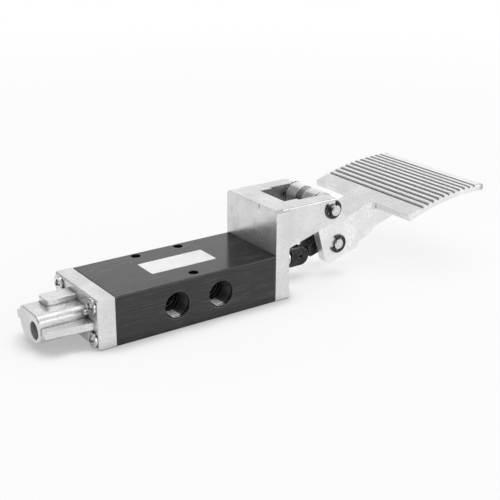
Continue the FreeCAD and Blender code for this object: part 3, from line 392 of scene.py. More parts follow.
Recipe = Callable[[Graph, Sockets], Sockets]
RECIPES: dict[Effect, tuple[Recipe, dict[str, str], tuple[str, ...]]] = {
    Effect.CAST_SKIN: (cast_skin, {"Grain": "Float", "Flow": "Float"},
                       ("Height", "Clouds", "Mottle", "Pores")),
    Effect.STREAKS: (brushed_streaks, {"Stretch": "Vector"}, ("Streaks", "Height")),
    Effect.EDGE_WEAR_AND_LIGHT: (edge_wear_and_light, {"Radius": "Float"}, ("Ridge", "Normal")),
    Effect.PAINTED_CORNER_SHADE: (painted_crevice_shade, {"Reach": "Float", "Open": "Float"}, ("PaintedShade",)),
    Effect.TOOL_RINGS: (tool_rings, {"Across": "Float", "Up": "Float", "Pitch": "Float"},
                        ("Rings",)),
}


def effect_group(effect: Effect) -> bpy.types.NodeTree:
    """Builds an effect's node group the first time, and finds it after that.

    Args:
        effect: which effect.

    Returns:
        The node group.
    """
    known = bpy.data.node_groups.get(effect.value)
    if known:
        return known
    recipe, takes, gives = RECIPES[effect]
    tree = bpy.data.node_groups.new(effect.value, "ShaderNodeTree")
    for name, kind in takes.items():
        tree.interface.new_socket(name, in_out="INPUT", socket_type="NodeSocket" + kind)
    for name in gives:
        kind = "Vector" if name == "Normal" else "Float"
        tree.interface.new_socket(name, in_out="OUTPUT", socket_type="NodeSocket" + kind)
    entry = tree.nodes.new("NodeGroupInput")
    graph = Graph(tree)
    made = recipe(graph, {name: entry.outputs[name] for name in takes})
    leave = tree.nodes.new("NodeGroupOutput")
    for name in gives:
        graph.feed(leave.inputs[name], made[name])
    return tree


def apply_effect(graph: Graph, effect: Effect,
                 **values: Value | Sequence[float]) -> bpy.types.NodeOutputs:
    """Places an effect in a material.

    Args:
        graph: the material's graph.
        effect: which effect.
        values: the effect's inputs by name, with a low first letter.

    Returns:
        The outputs of the effect's node.
    """
    node = graph.node("Group", node_tree=effect_group(effect))
    for name, value in values.items():
        graph.feed(node.inputs[name.capitalize()], value)
    return node.outputs


# Finishes


@dataclass
class Layers:
    """What a finish varies over the surface.

    Attributes:
        colour: its colour.
        roughness: its gloss.
        height: its relief.
        normal: its normal, rounded at the edges, or None for the plain one.
        edges: the mask of its edges, for wear and painted highlights, where a finish that builds
            on it uses them.
    """

    colour: Socket
    roughness: Socket
    height: Socket
    normal: Socket | None = None
    edges: Socket | None = None


@dataclass(frozen=True)
class Tint:
    """A mark that makes a finish darker or lighter.

    Attributes:
        amount: how much of it shows where it is strongest, from 0 to 1.
        shade: its brightness against the finish's colour.
    """

    amount: float
    shade: float


@dataclass(frozen=True)
class CornerShade(Tint):
    """Painted shade that darkens corners, holes and grooves.

    Attributes:
        reach: how far off the walls lie that shade a spot, in metres.
        open: how open the spots are where half of it has gone, from 0 to 1.
    """

    reach: float
    open: float


@dataclass(frozen=True)
class Finish:
    """Common part of all finishes.

    Attributes:
        name: the finish's name.
        colour: its main colour.
        metallic: 1 for bare metal, 0 for paint, rubber and plastic.
        roughness: its middle gloss.
        relief: depth of its bumps in metres.
        edge: radius of its slightly rounded edges in metres.
        gleam: how strongly its clear surface reflects, 0.5 being that of glass.
        polish: what its marks add to its roughness where they begin and where they are full.
        shades: brightness of its darkest and its palest parts against its colour.
    """

    name: str
    colour: Colour
    metallic: float
    roughness: float
    relief: float
    edge: float = 0.00015
    gleam: float = 0.5
    polish: Pair = (0.0, 0.0)
    shades: Pair = (1.0, 1.0)

    def layers(self, graph: Graph) -> Layers:
        """Draws the finish's layers; each kind of finish has its own."""
        raise NotImplementedError

    def shade(self, strength: float) -> Colour:
        """Gives the finish's colour, multiplied by a strength."""
        return tuple(min(1.0, part * strength) for part in self.colour)

    def clouds(self, graph: Graph, mask: Socket) -> Socket:
        """Gives the finish's colour, from its darkest to its palest parts."""
        return graph.mix(mask, *(self.shade(strength) for strength in self.shades))

    def gloss(self, graph: Graph, mask: Socket, start: float = 0.0) -> Socket:
        """Gives the finish's roughness, changed from where a mask reaches a start."""
        return graph.ramp(mask, start, 1.0, *(self.roughness + part for part in self.polish))

    def tint(self, graph: Graph, colour: Socket, mask: Socket, mark: Tint) -> Socket:
        """Lays a mark over a colour.

        Args:
            graph: the material's graph.
            colour: the colour under it.
            mask: where it shows, from 0 to 1.
            mark: how strong and how bright it is.

        Returns:
            The colour with the mark on it.
        """
        share = graph.math("MULTIPLY", mask, mark.amount)
        return graph.mix(share, colour, self.shade(mark.shade))

    def lay_corner_shade(self, graph: Graph, colour: Socket, shade_mark: CornerShade) -> Socket:
        """Lays painted shade in the corners of a colour.

        Args:
            graph: the material's graph.
            colour: the colour under it.
            shade_mark: where the painted shade lies and how dark it is.

        Returns:
            The colour with the painted shade on it.
        """
        # painted shade in corners
        corners = apply_effect(graph, Effect.PAINTED_CORNER_SHADE, reach=shade_mark.reach, open=shade_mark.open)
        return self.tint(graph, colour, corners["PaintedShade"], shade_mark)

    def material(self) -> bpy.types.Material:
        """Builds the material the first time, and finds it after that.

        Returns:
            The material.
        """
        known = bpy.data.materials.get(self.name)
        if known:
            return known
        made = bpy.data.materials.new(self.name)
        made.use_nodes = True
        made.node_tree.nodes.clear()
        graph = Graph(made.node_tree)
        surface = graph.node("BsdfPrincipled")
        surface.inputs["Metallic"].default_value = self.metallic
        surface.inputs["Specular IOR Level"].default_value = self.gleam
        layers = self.layers(graph)
        graph.feed(surface.inputs["Base Color"], layers.colour)
        graph.feed(surface.inputs["Roughness"], layers.roughness)
        bump = graph.node("Bump")
        bump.inputs["Distance"].default_value = self.relief
        bump.inputs["Strength"].default_value = 1.0
        graph.feed(bump.inputs["Height"], layers.height)
        if layers.normal:
            graph.feed(bump.inputs["Normal"], layers.normal)
        graph.feed(surface.inputs["Normal"], bump.outputs[0])
        output = graph.node("OutputMaterial")
        graph.feed(output.inputs["Surface"], surface.outputs[0])
        made.diffuse_color = (*self.colour, 1.0)
        made.metallic = self.metallic
        made.roughness = self.roughness
        return made


@dataclass(frozen=True)
class Anodised(Finish):
    """Black anodised bar, brushed lengthwise before it was dyed.

    Attributes:
        stretch: streaks for each metre along each axis.
        scratch_and_sheen: how pale the scratches are on its sides and on its top; the paler top is
            painted sheen.
        corner: distance of its long edges from the middle plane and their height, in metres.
        corner_width: how near a spot lies to count as a long edge.
        bare_and_highlight: how pale its edges are, for wear and painted highlights.
        wear_and_highlight: how much of that pale colour its short edges take, and how much more
            its long ones.
        shine: levels of the streaks where they begin to show and show in full.
        upward: tilts of the surface between which the sides' scratches become the top's paler
            ones.
    """

    stretch: Triple = (38.0, 1900.0, 1900.0)
    scratch_and_sheen: Pair = (0.05, 0.10)
    corner: Pair = (0.0195, 0.022)
    corner_width: float = 0.0005
    bare_and_highlight: float = 0.85
    wear_and_highlight: Pair = (0.1, 0.8)
    shine: Pair = (0.5, 1.0)
    upward: Pair = (0.6, 0.9)
    polish: Pair = (0.0, 0.10)

    def layers(self, graph: Graph) -> Layers:
        """Draws long pale streaks, paler on top as painted sheen, and edges with thin grey wear
        and painted highlights.

        Args:
            graph: the material's graph.

        Returns:
            The layers.
        """
        lines = apply_effect(graph, Effect.STREAKS, stretch=self.stretch)
        edges = apply_effect(graph, Effect.EDGE_WEAR_AND_LIGHT, radius=self.edge)
        clouds = graph.patches(60.0, 4.0, least=0.35)
        shine = graph.math("MULTIPLY", graph.ramp(lines["Streaks"], *self.shine), clouds)
        # painted sheen: scratches on top paler than on the sides
        scratch_and_sheen = graph.mix(graph.ramp(graph.tilt(), *self.upward),
                            *(grey(part) for part in self.scratch_and_sheen))
        colour = graph.mix(shine, self.colour, scratch_and_sheen)
        _, side, up = graph.axes(graph.place())
        side_edge, top_edge = (part - self.corner_width for part in self.corner)
        long_edge = graph.math(
            "MULTIPLY", graph.math("GREATER_THAN", graph.math("ABSOLUTE", side), side_edge),
            graph.math("GREATER_THAN", up, top_edge))
        # edges paler for wear and painted highlights, the long edges most
        least, more = self.wear_and_highlight
        rubbed = graph.math("MULTIPLY", edges["Ridge"],
                            graph.math("MULTIPLY_ADD", long_edge, more, least))
        colour = graph.mix(rubbed, colour, grey(self.bare_and_highlight))
        return Layers(colour, self.gloss(graph, shine), lines["Height"], edges["Normal"])


@dataclass(frozen=True)
class CastAlloy(Finish):
    """Die cast light alloy, blasted and lightly tumbled.

    Attributes:
        grain: size of the blasted grain in metres.
        flow: size of the cloudy flow marks in metres.
        mottle: its mottling.
        pores: its pores.
        hollow_shade: painted shade in its hollows.
        corner_shade: painted shade in its corners.
        ridge: painted dark lines along its edges.
        ridge_polish: what a rubbed edge adds to its roughness.
    """

    grain: float = 0.0005
    flow: float = 0.011
    mottle: Tint = Tint(0.5, 0.80)
    pores: Tint = Tint(0.35, 0.35)
    hollow_shade: CornerShade = CornerShade(0.55, 0.22, 0.012, 0.30)
    corner_shade: CornerShade = CornerShade(0.92, 0.16, 0.0010, 0.68)
    ridge: Tint = Tint(0.3, 0.6)
    ridge_polish: float = 0.10
    polish: Pair = (0.06, -0.04)
    shades: Pair = (0.89, 1.05)

    def layers(self, graph: Graph) -> Layers:
        """Draws the cast skin, painted shade in its corners and hollows, and painted dark lines
        along its edges.

        Args:
            graph: the material's graph.

        Returns:
            The layers.
        """
        skin = apply_effect(graph, Effect.CAST_SKIN, grain=self.grain, flow=self.flow)
        edges = apply_effect(graph, Effect.EDGE_WEAR_AND_LIGHT, radius=self.edge)
        colour = self.clouds(graph, skin["Clouds"])
        colour = self.tint(graph, colour, skin["Mottle"], self.mottle)
        colour = self.tint(graph, colour, skin["Pores"], self.pores)
        # painted shade in the hollows and the corners
        for shade_mark in (self.hollow_shade, self.corner_shade):
            colour = self.lay_corner_shade(graph, colour, shade_mark)
        # painted dark line along each edge
        colour = self.tint(graph, colour, edges["Ridge"], self.ridge)
        roughness = graph.math("MULTIPLY_ADD", edges["Ridge"], self.ridge_polish,
                               self.gloss(graph, skin["Clouds"]))
        return Layers(colour, roughness, skin["Height"], edges["Normal"], edges["Ridge"])


@dataclass(frozen=True)
class WindowAlloy(CastAlloy):
    """The bracket's casting, with painted shade on the walls inside its window.

    Attributes:
        window: X where the window starts and half its width, in metres.
        top: height of the bracket's top face.
        depth: how far down the walls reach their darkest.
        oil_and_shade: how much painted shade lies on the walls down there and at the top, from 0
            to 1.
        inner_shade_level: brightness of that painted shade against the finish's colour.
        upright: a face whose tilt is less than this is a wall.
    """

    window: Pair = (0.0518, 0.0114)
    top: float = 0.043
    depth: float = 0.009
    oil_and_shade: Pair = (0.88, 0.6)
    inner_shade_level: float = 0.16
    upright: float = 0.5

    def layers(self, graph: Graph) -> Layers:
        """Draws the cast skin and painted shade on the walls of the window.

        Args:
            graph: the material's graph.

        Returns:
            The layers.
        """
        base = super().layers(graph)
        along, side, up = graph.axes(graph.place())
        start, half = self.window
        wall = graph.math("LESS_THAN", graph.math("ABSOLUTE", graph.tilt()), self.upright)
        inside = graph.math("MULTIPLY", graph.math("GREATER_THAN", along, start),
                            graph.math("LESS_THAN", graph.math("ABSOLUTE", side), half))
        low = graph.ramp(up, self.top - self.depth, self.top, *self.oil_and_shade)
        # painted shade on the window's walls, darker deeper down
        share = graph.math("MULTIPLY", graph.math("MULTIPLY", inside, wall), low)
        colour = graph.mix(share, base.colour, self.shade(self.inner_shade_level))
        return Layers(colour, base.roughness, base.height, base.normal)


@dataclass(frozen=True)
class TreadAlloy(CastAlloy):
    """The pedal's casting, whose tread is rubbed bright on its ridges and made darker in its
    grooves.

    Attributes:
        crown: the axis that the tread is curved round, as X and Z in metres.
        bend: radius of the tread's top face in metres.
        reach: X of the first and past the last groove in metres.
        half: half the tread's width in metres.
        toe: X where the painted shade on the toe's end corners starts and ends, in metres.
        fade: length along X over which the marks fade at both ends.
        rim: how far inside the tread's sides its marks begin to fade and have gone.
        toe_rim: how far inside them that painted shade begins and is full.
        top: depths where the ridges' bright tops begin to fade and have gone.
        wall: depths where the grooves' darkening begins and is full.
        floor: depths where it begins to fade and has gone.
        rubbed: the ridges' bright tops.
        groove_darkening: how much darker the grooves are made.
        worn_and_lit: painted highlights along the casting's edges.
        toe_shade: painted shade on the toe's end corners.
        marks_polish: what ridges and grooves add to its roughness.
    """

    crown: Pair = (0.148, -0.0843)
    bend: float = 0.1245
    reach: Pair = (0.1130, 0.1534)
    half: float = 0.0345
    toe: Pair = (0.1515, 0.1540)
    fade: float = 0.0003
    rim: Pair = (0.0008, 0.0005)
    toe_rim: Pair = (0.0020, 0.0008)
    top: Pair = (0.00005, 0.0002)
    wall: Pair = (0.0002, 0.0008)
    floor: Pair = (0.0012, 0.0016)
    rubbed: Tint = Tint(0.5, 0.98)
    groove_darkening: Tint = Tint(0.8, 0.18)
    worn_and_lit: Tint = Tint(0.5, 1.25)
    toe_shade: Tint = Tint(0.7, 0.3)
    marks_polish: Pair = (-0.06, 0.25)

    def side_mask(self, graph: Graph, side: Socket, insets: Pair, *levels: float) -> Socket:
        """Gives a mask that changes near both sides of the tread.

        Args:
            graph: the material's graph.
            side: the way from the middle plane.
            insets: how far inside the sides the change begins and ends.
            levels: the mask before and after it.

        Returns:
            The mask.
        """
        begin, end = (self.half - inset for inset in insets)
        return graph.ramp(graph.math("ABSOLUTE", side), begin, end, *levels)

    def layers(self, graph: Graph) -> Layers:
        """Draws the cast skin, darker grooves, painted shade at the toe's corners, painted
        highlights on its edges and polished ridges.

        Args:
            graph: the material's graph.

        Returns:
            The layers.
        """
        base = super().layers(graph)
        along, side, up = graph.axes(graph.place())
        across, rise = (graph.math("SUBTRACT", part, middle)
                        for part, middle in zip((along, up), self.crown))
        depth = graph.math("SUBTRACT", self.bend, graph.distance(across, rise))
        first, last = self.reach
        inside = graph.math("MULTIPLY", graph.ramp(along, first, first + self.fade),
                            graph.ramp(along, last - self.fade, last, 1.0, 0.0))
        inside = graph.math("MULTIPLY", inside,
                            self.side_mask(graph, side, self.rim, 1.0, 0.0))
        # grooves made darker from part way down their walls
        groove = graph.math("MULTIPLY", inside, graph.math(
            "MULTIPLY", graph.ramp(depth, *self.wall), graph.ramp(depth, *self.floor, 1.0, 0.0)))
        ridge = graph.math("MULTIPLY", inside, graph.ramp(depth, *self.top, 1.0, 0.0))
        # painted shade on the toe's end corners
        corner = graph.math("MULTIPLY", graph.ramp(along, *self.toe),
                            self.side_mask(graph, side, self.toe_rim))
        colour, roughness = base.colour, base.roughness
        # ridge tops, darker grooves, painted edge highlights and painted toe shade
        for mask, mark in ((ridge, self.rubbed), (groove, self.groove_darkening),
                           (base.edges, self.worn_and_lit), (corner, self.toe_shade)):
            colour = self.tint(graph, colour, mask, mark)
        for mask, change in zip((ridge, groove), self.marks_polish):
            roughness = graph.math("MULTIPLY_ADD", mask, change, roughness)
        return Layers(colour, roughness, base.height, base.normal)


class Axis(Enum):
    """Which way the axis of a turned piece points."""

    X = "x"
    Y = "y"


@dataclass(frozen=True)
class TurnedMetal(Finish):
    """Bright metal with the rings that its turning left.

    Attributes:
        axis: the way its axis points.
        centre: the axis's place in the two other directions, in metres.
        fold: the middle that copies lie mirrored about, or None for a single one.
        pitch: width of a ring in metres.
        scratches: fine handling scratches for each metre along each axis.
        corner_shade: painted shade in its recesses.
        stain: its stains.
    """

    axis: Axis = Axis.Y
    centre: Pair = (0.0, 0.0)
    fold: Pair | None = None
    pitch: float = 0.00035
    scratches: Triple = (900.0, 500.0, 1400.0)
    corner_shade: CornerShade = CornerShade(0.6, 0.08, 0.0012, 0.7)
    stain: Tint = Tint(0.1, 0.1)
    polish: Pair = (-0.04, 0.08)
    shades: Pair = (0.86, 1.08)

    def layers(self, graph: Graph) -> Layers:
        """Draws tool rings, fine handling scratches and painted shade in the recesses.

        Args:
            graph: the material's graph.

        Returns:
            The layers.
        """
        along, side, up = graph.axes(graph.place())
        pair = (side, up) if self.axis is Axis.X else (along, up)
        if self.fold:
            pair = tuple(graph.math("ABSOLUTE", graph.math("SUBTRACT", part, middle))
                         for part, middle in zip(pair, self.fold))
        across, rise = (graph.math("SUBTRACT", part, middle)
                        for part, middle in zip(pair, self.centre))
        rings = apply_effect(graph, Effect.TOOL_RINGS, across=across, up=rise,
                             pitch=self.pitch)
        marks = apply_effect(graph, Effect.STREAKS, stretch=self.scratches)
        edges = apply_effect(graph, Effect.EDGE_WEAR_AND_LIGHT, radius=self.edge)
        colour = self.clouds(graph, rings["Rings"])
        stains = graph.patches(750.0, 2.0, (0.48, 0.62))
        colour = self.tint(graph, colour, stains, self.stain)
        # painted shade in the recesses
        colour = self.lay_corner_shade(graph, colour, self.corner_shade)
        return Layers(colour, self.gloss(graph, marks["Streaks"]), rings["Rings"],
                      edges["Normal"])


@dataclass(frozen=True)
class CutThread(Finish):
    """Thread that was dyed with its block, its tips bare metal, painted bright at the bottom of
    the bore.

    Attributes:
        step: distance from port to port along X, in metres.
        height: the ports' axes above the bottom face.
        tip: radius of the thread's tips.
        wear_and_highlight: how far behind the tips the bare, painted-bright metal begins to fade
            and has gone.
        bare_and_highlight: colour of the bare tips where they are painted bright.
        worn_and_lit: how far down the bore the tips are painted bright, from -1 at its top to 1 at
            its bottom.
        blend: how softly that begins.
        faint: how bright the tips are elsewhere.
        dull: how bright a spot is where it begins to get glossier.
    """

    step: float = 0.011
    height: float = 0.011
    tip: float = 0.00545
    wear_and_highlight: Pair = (0.00014, 0.0004)
    bare_and_highlight: Colour = (0.95, 0.95, 0.95)
    worn_and_lit: float = 0.93
    blend: float = 0.03
    faint: float = 0.04
    dull: float = 0.4
    polish: Pair = (0.1, 0.0)

    def layers(self, graph: Graph) -> Layers:
        """Draws dark flanks, and bare tips painted bright at the bottom, as if lit through the
        mouth.

        Args:
            graph: the material's graph.

        Returns:
            The layers.
        """
        along, _, up = graph.axes(graph.place())
        across = graph.math("WRAP", along, self.step / 2, -self.step / 2)
        rise = graph.math("SUBTRACT", up, self.height)
        radius = graph.distance(across, rise)
        tips = graph.ramp(radius, *(self.tip + part for part in self.wear_and_highlight), 1.0, 0.0)
        low = graph.math("DIVIDE", graph.math("MULTIPLY", rise, -1.0), radius)
        # painted light: tips at the bore's bottom made bright as if lit through the mouth
        bottom = graph.ramp(low, self.worn_and_lit - self.blend, self.worn_and_lit + self.blend, self.faint, 1.0)
        patches = graph.math("MULTIPLY", graph.patches(800.0, 3.0, (0.3, 0.6), 0.7), bottom)
        colour = graph.mix(graph.math("MULTIPLY", tips, patches), self.colour, self.bare_and_highlight)
        return Layers(colour, self.gloss(graph, patches, self.dull), patches)


@dataclass(frozen=True)
class BlackSteel(Finish):
    """Stamped or milled steel, blackened and oiled, its edges grey for wear and painted
    highlights.

    Attributes:
        bare_and_highlight: colour of its edges, bare steel and painted highlight.
        worn_and_lit: how much of that colour shows at its edges, from 0 to 1.
        grinding: grinding lines for each metre along each axis.
    """

    bare_and_highlight: Colour = (0.50, 0.50, 0.50)
    worn_and_lit: float = 0.7
    grinding: Triple = (500.0, 2200.0, 900.0)
    polish: Pair = (0.08, -0.08)
    shades: Pair = (0.6, 1.5)

    def layers(self, graph: Graph) -> Layers:
        """Draws oily patches, faint grinding lines, and edges with wear and painted highlights.

        Args:
            graph: the material's graph.

        Returns:
            The layers.
        """
        lines = apply_effect(graph, Effect.STREAKS, stretch=self.grinding)
        edges = apply_effect(graph, Effect.EDGE_WEAR_AND_LIGHT, radius=self.edge)
        # random oily patches
        oil_and_shade = graph.patches(260.0, 4.0)
        # edges paler for wear and painted highlights
        share = graph.math("MULTIPLY", edges["Ridge"], self.worn_and_lit)
        colour = graph.mix(share, self.clouds(graph, oil_and_shade), self.bare_and_highlight)
        return Layers(colour, self.gloss(graph, oil_and_shade), lines["Height"], edges["Normal"])


@dataclass(frozen=True)
class DrawnWire(Finish):
    """Drawn steel wire or porous bushing metal, with fine lines and dull patches.

    Attributes:
        lines: fine lines for each metre along each axis.
    """

    lines: Triple = (1800.0, 1800.0, 1800.0)
    polish: Pair = (-0.06, 0.10)
    shades: Pair = (0.7, 1.15)

    def layers(self, graph: Graph) -> Layers:
        """Draws fine lines and dull patches.

        Args:
            graph: the material's graph.

        Returns:
            The layers.
        """
        lines = apply_effect(graph, Effect.STREAKS, stretch=self.lines)
        colour = self.clouds(graph, graph.patches(300.0, 4.0))
        return Layers(colour, self.gloss(graph, lines["Streaks"]), lines["Height"])


@dataclass(frozen=True)
class Moulded(Finish):
    """Rubber, plastic or film: fine matt grain with a little dust.

    Attributes:
        grain: size of the grain in metres.
        flow: size of its cloudy parts in metres.
        dust: colour of what lies on it.
        amount: how much lies on it, from 0 to 1.
    """

    grain: float = 0.0003
    flow: float = 0.005
    dust: Colour = (0.30, 0.30, 0.29)
    amount: float = 0.25
    polish: Pair = (-0.06, 0.06)
    shades: Pair = (0.93, 1.04)

    def layers(self, graph: Graph) -> Layers:
        """Draws the fine grain and the dust.

        Args:
            graph: the material's graph.

        Returns:
            The layers.
        """
        skin = apply_effect(graph, Effect.CAST_SKIN, grain=self.grain, flow=self.flow)
        share = graph.math("MULTIPLY", skin["Clouds"], self.amount)
        colour = graph.mix(share, self.clouds(graph, skin["Clouds"]), self.dust)
        return Layers(colour, self.gloss(graph, skin["Clouds"]), skin["Height"])


PIVOT_CENTRE: Pair = (0.073, 0.0378)

BLACK_ANODISED = Anodised("brushed_black_anodised", grey(0.005), 0.0, 0.17, 0.000008, 0.0005,
                          0.56)
CAST_ALLOY = CastAlloy("blasted_castings", grey(0.78), 0.72, 0.25, 0.000022, 0.0003)
BRACKET_ALLOY = WindowAlloy("blasted_bracket_casting", grey(0.78), 0.72, 0.25, 0.000022, 0.0003)
PEDAL_ALLOY = TreadAlloy("rubbed_pedal_casting", grey(0.90), 0.75, 0.28, 0.00002, 0.0003)
# the screws' recesses carry the darkest painted shade
CAP_SCREW_STEEL = TurnedMetal("plated_steel_screws", grey(0.80), 1.0, 0.10, 0.000012, 0.0002,
                              axis=Axis.X, centre=(0.015, 0.0073), fold=(0.0, 0.011),
                              pitch=0.0004, corner_shade=CornerShade(1.0, 0.08, 0.0012, 0.7),
                              stain=Tint(0.6, 0.1))
PIVOT_STEEL = TurnedMetal("ground_steel_pivot", grey(0.70), 1.0, 0.2, 0.000005, 0.00015,
                          centre=PIVOT_CENTRE)
LINK_PIN_STEEL = TurnedMetal("ground_steel_link_pin", grey(0.70), 1.0, 0.2, 0.000005, 0.00015,
                             centre=(0.0844, 0.0159))
SPOOL_PIN_STEEL = TurnedMetal("blued_steel_spool_pin", grey(0.10), 1.0, 0.3, 0.000004, 0.0001,
                              centre=(0.0674, 0.011))
WASHER_STEEL = TurnedMetal("plated_steel_washers", grey(0.76), 1.0, 0.16, 0.000005, 0.00015,
                           centre=PIVOT_CENTRE)
SPACER_STEEL = TurnedMetal("turned_steel_spacer", grey(0.42), 1.0, 0.3, 0.000008, 0.00015,
                           centre=PIVOT_CENTRE, pitch=0.0005)
SPOOL_ALLOY = TurnedMetal("turned_spool_alloy", grey(0.78), 1.0, 0.2, 0.000008, 0.00015,
                          axis=Axis.X, centre=(0.0, 0.011))
THREAD_ALLOY = CutThread("cut_threads", grey(0.012), 0.15, 0.30, 0.000004)
BLACK_STEEL = BlackSteel("oiled_black_steel", grey(0.022), 0.55, 0.28, 0.00001, 0.0002)
SPRING_WIRE = DrawnWire("drawn_spring_wire", grey(0.42), 1.0, 0.3, 0.000006)
BUSH_BRONZE = DrawnWire("porous_bush_bronze", (0.50, 0.36, 0.20), 1.0, 0.42, 0.00001)
GASKET_RUBBER = Moulded("gasket_sheet", grey(0.03), 0.0, 0.75, 0.00002)
SEAL_RUBBER = Moulded("ring_rubber", grey(0.02), 0.0, 0.4, 0.00001)
SEAT_PLASTIC = Moulded("seat_plastic", (0.72, 0.72, 0.69), 0.0, 0.45, 0.00001)
LABEL_FILM = Moulded("label_film", grey(0.98), 0.0, 0.42, 0.000004, grain=0.0006,
                     dust=grey(0.86), amount=0.06)


# The valve


def dress(finish: Finish, *nodes: str) -> None:
    """Gives solids their finish.

    Args:
        finish: what they are made of.
        nodes: the solids' names.
    """
    for node in nodes:
        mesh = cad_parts[node].data
        mesh.materials.clear()
        mesh.materials.append(finish.material())
        LOG.info("%s has the finish %s", node, finish.name)


def join_rings(shape: bmesh.types.BMesh, rings: list[Ring]) -> None:
    """Spans faces from ring to ring and closes both ends.

    Args:
        shape: the shape that the rings belong to.
        rings: the rings in order, all with as many points.
    """
    for lower, upper in zip(rings, rings[1:]):
        for index in range(len(lower)):
            after = (index + 1) % len(lower)
            shape.faces.new((lower[index], lower[after], upper[after], upper[index]))
    shape.faces.new(rings[-1])
    shape.faces.new(rings[0][::-1])


def mesh_piece(name: str, shape: bmesh.types.BMesh, finish: Finish, body: str) -> bpy.types.Object:
    """Turns a built shape into a piece that rides on a body.

    Args:
        name: the piece's name.
        shape: its faces, in metres in the frame of the valve.
        finish: what it is made of.
        body: the body that carries it.

    Returns:
        The new piece.
    """
    bmesh.ops.recalc_face_normals(shape, faces=shape.faces)
    mesh = bpy.data.meshes.new(name)
    shape.to_mesh(mesh)
    shape.free()
    for face in mesh.polygons:
        face.use_smooth = True
    mesh.set_sharp_from_angle(angle=CREASE)
    mesh.materials.append(finish.material())
    piece = bpy.data.objects.new(name, mesh)
    bpy.context.scene.collection.objects.link(piece)
    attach(piece, body)
    LOG.info("%s built with %d faces", name, len(mesh.polygons))
    return piece


@dataclass
class LabelPlate:
    """The bare plate on top of the valve block.

    Attributes:
        middle: X of its middle, in metres.
        length: along X.
        width: along Y.
        thickness: height above the block.
        sink: how far its foot reaches into the block.
        corner: radius of its corners.
        rim: width of its soft upper edge.
        steps: faces round a corner.
    """

    middle: float = 0.0007
    length: float = 0.0326
    width: float = 0.013
    thickness: float = 0.00016
    sink: float = 0.00002
    corner: float = 0.0008
    rim: float = 0.00007
    steps: int = 6

    def outline(self, inset: float) -> list[Pair]:
        """Walks round the plate.

        Args:
            inset: how far inside its edge.

        Returns:
            Points in the plane of the block's top.
        """
        radius = self.corner - inset
        points = []
        for corner, (across, side) in enumerate(((1, 1), (-1, 1), (-1, -1), (1, -1))):
            centre = Vector((self.middle + across * (self.length / 2 - self.corner),
                             side * (self.width / 2 - self.corner)))
            for step in range(self.steps + 1):
                turn = math.radians(90 * corner + 90 / self.steps * step)
                points.append((centre.x + radius * math.cos(turn),
                               centre.y + radius * math.sin(turn)))
        return points

    def build(self, top: float) -> None:
        """Builds the plate.

        Args:
            top: height of the block's top face.
        """
        shape = bmesh.new()
        levels = ((0.0, -self.sink), (0.0, self.thickness - self.rim),
                  (self.rim, self.thickness))
        join_rings(shape, [[shape.verts.new((*point, top + height))
                            for point in self.outline(inset)] for inset, height in levels])
        mesh_piece("label_plate", shape, LABEL_FILM, "valve")


class Side(Enum):
    """The side of the block that a port opens to."""

    NEAR = -1
    FAR = 1


@dataclass
class PortThread:
    """The pipe thread cut in a side port.

    Attributes:
        name: the piece's name.
        along: X of the port's axis, in metres.
        side: the side it opens to.
        face: distance of that side from the middle plane.
        height: the axis above the bottom face.
        root: radius of the bare port.
        crest: radius at the thread's tips.
        pitch: from turn to turn.
        fill: how much of the pitch the ridge takes.
        flat: half the width of its flat tip against the pitch.
        start: depth of the first turn.
        end: depth of the last turn.
        steps: points on a turn.
        run_out: turns over which the ridge rises at its ends.
        least: its height at its very ends against its full height.
    """

    name: str
    along: float
    side: Side
    face: float = 0.0195
    height: float = 0.011
    root: float = 0.00592
    crest: float = 0.00545
    pitch: float = 0.001337
    fill: float = 0.98
    flat: float = 0.09
    start: float = 0.0009
    end: float = 0.0093
    steps: int = 56
    run_out: float = 0.4
    least: float = 0.05

    def section(self, turn: float, depth: float, share: float) -> list[Triple]:
        """Gives one section of the ridge.

        Args:
            turn: angle round the port.
            depth: distance of the ridge's middle from the port's mouth.
            share: height of the ridge against its full height.

        Returns:
            Four points from the outer foot to the inner foot.
        """
        tip = self.root - (self.root - self.crest) * share
        points = []
        for offset, radius in ((-0.5, self.root), (-self.flat, tip), (self.flat, tip),
                               (0.5, self.root)):
            deep = depth + offset * self.pitch * self.fill
            points.append((self.along + radius * math.cos(turn),
                           self.side.value * (self.face - deep),
                           self.height + self.side.value * radius * math.sin(turn)))
        return points

    def build(self) -> None:
        """Builds the ridge that winds down the port."""
        shape = bmesh.new()
        count = round((self.end - self.start) / self.pitch * self.steps)
        rows = []
        for step in range(count + 1):
            depth = self.start + self.pitch * step / self.steps
            near_end = min(step, count - step) / (self.steps * self.run_out)
            share = self.least + (1.0 - self.least) * min(1.0, near_end)
            rows.append([shape.verts.new(point) for point in
                         self.section(FULL_TURN * step / self.steps, depth, share)])
        for first, second in zip(rows, rows[1:]):
            for index in range(len(first) - 1):
                shape.faces.new((first[index], first[index + 1],
                                 second[index + 1], second[index]))
        mesh_piece(self.name, shape, THREAD_ALLOY, "valve")


@dataclass
class ValveBlock:
    """The ported block with its label plate, threads and gaskets.

    Attributes:
        height: its top face above its bottom face, in metres.
        pitch: from a port on one side to the next on the other, along X.
        ports: name, place in pitches and side of each port's thread.
    """

    height: float = 0.022
    pitch: float = 0.011
    ports: tuple[tuple[str, int, Side], ...] = (
        ("outlet_thread_rear", -1, Side.NEAR), ("outlet_thread_front", 1, Side.NEAR),
        ("exhaust_thread_rear", -2, Side.FAR), ("supply_thread", 0, Side.FAR),
        ("exhaust_thread_front", 2, Side.FAR))

    def build(self) -> None:
        """Dresses the block and adds the label plate and the five threads."""
        dress(BLACK_ANODISED, "valve_body")
        dress(GASKET_RUBBER, "rear_gasket", "front_gasket")
        LabelPlate().build(self.height)
        for name, steps, side in self.ports:
            PortThread(name, steps * self.pitch, side).build()


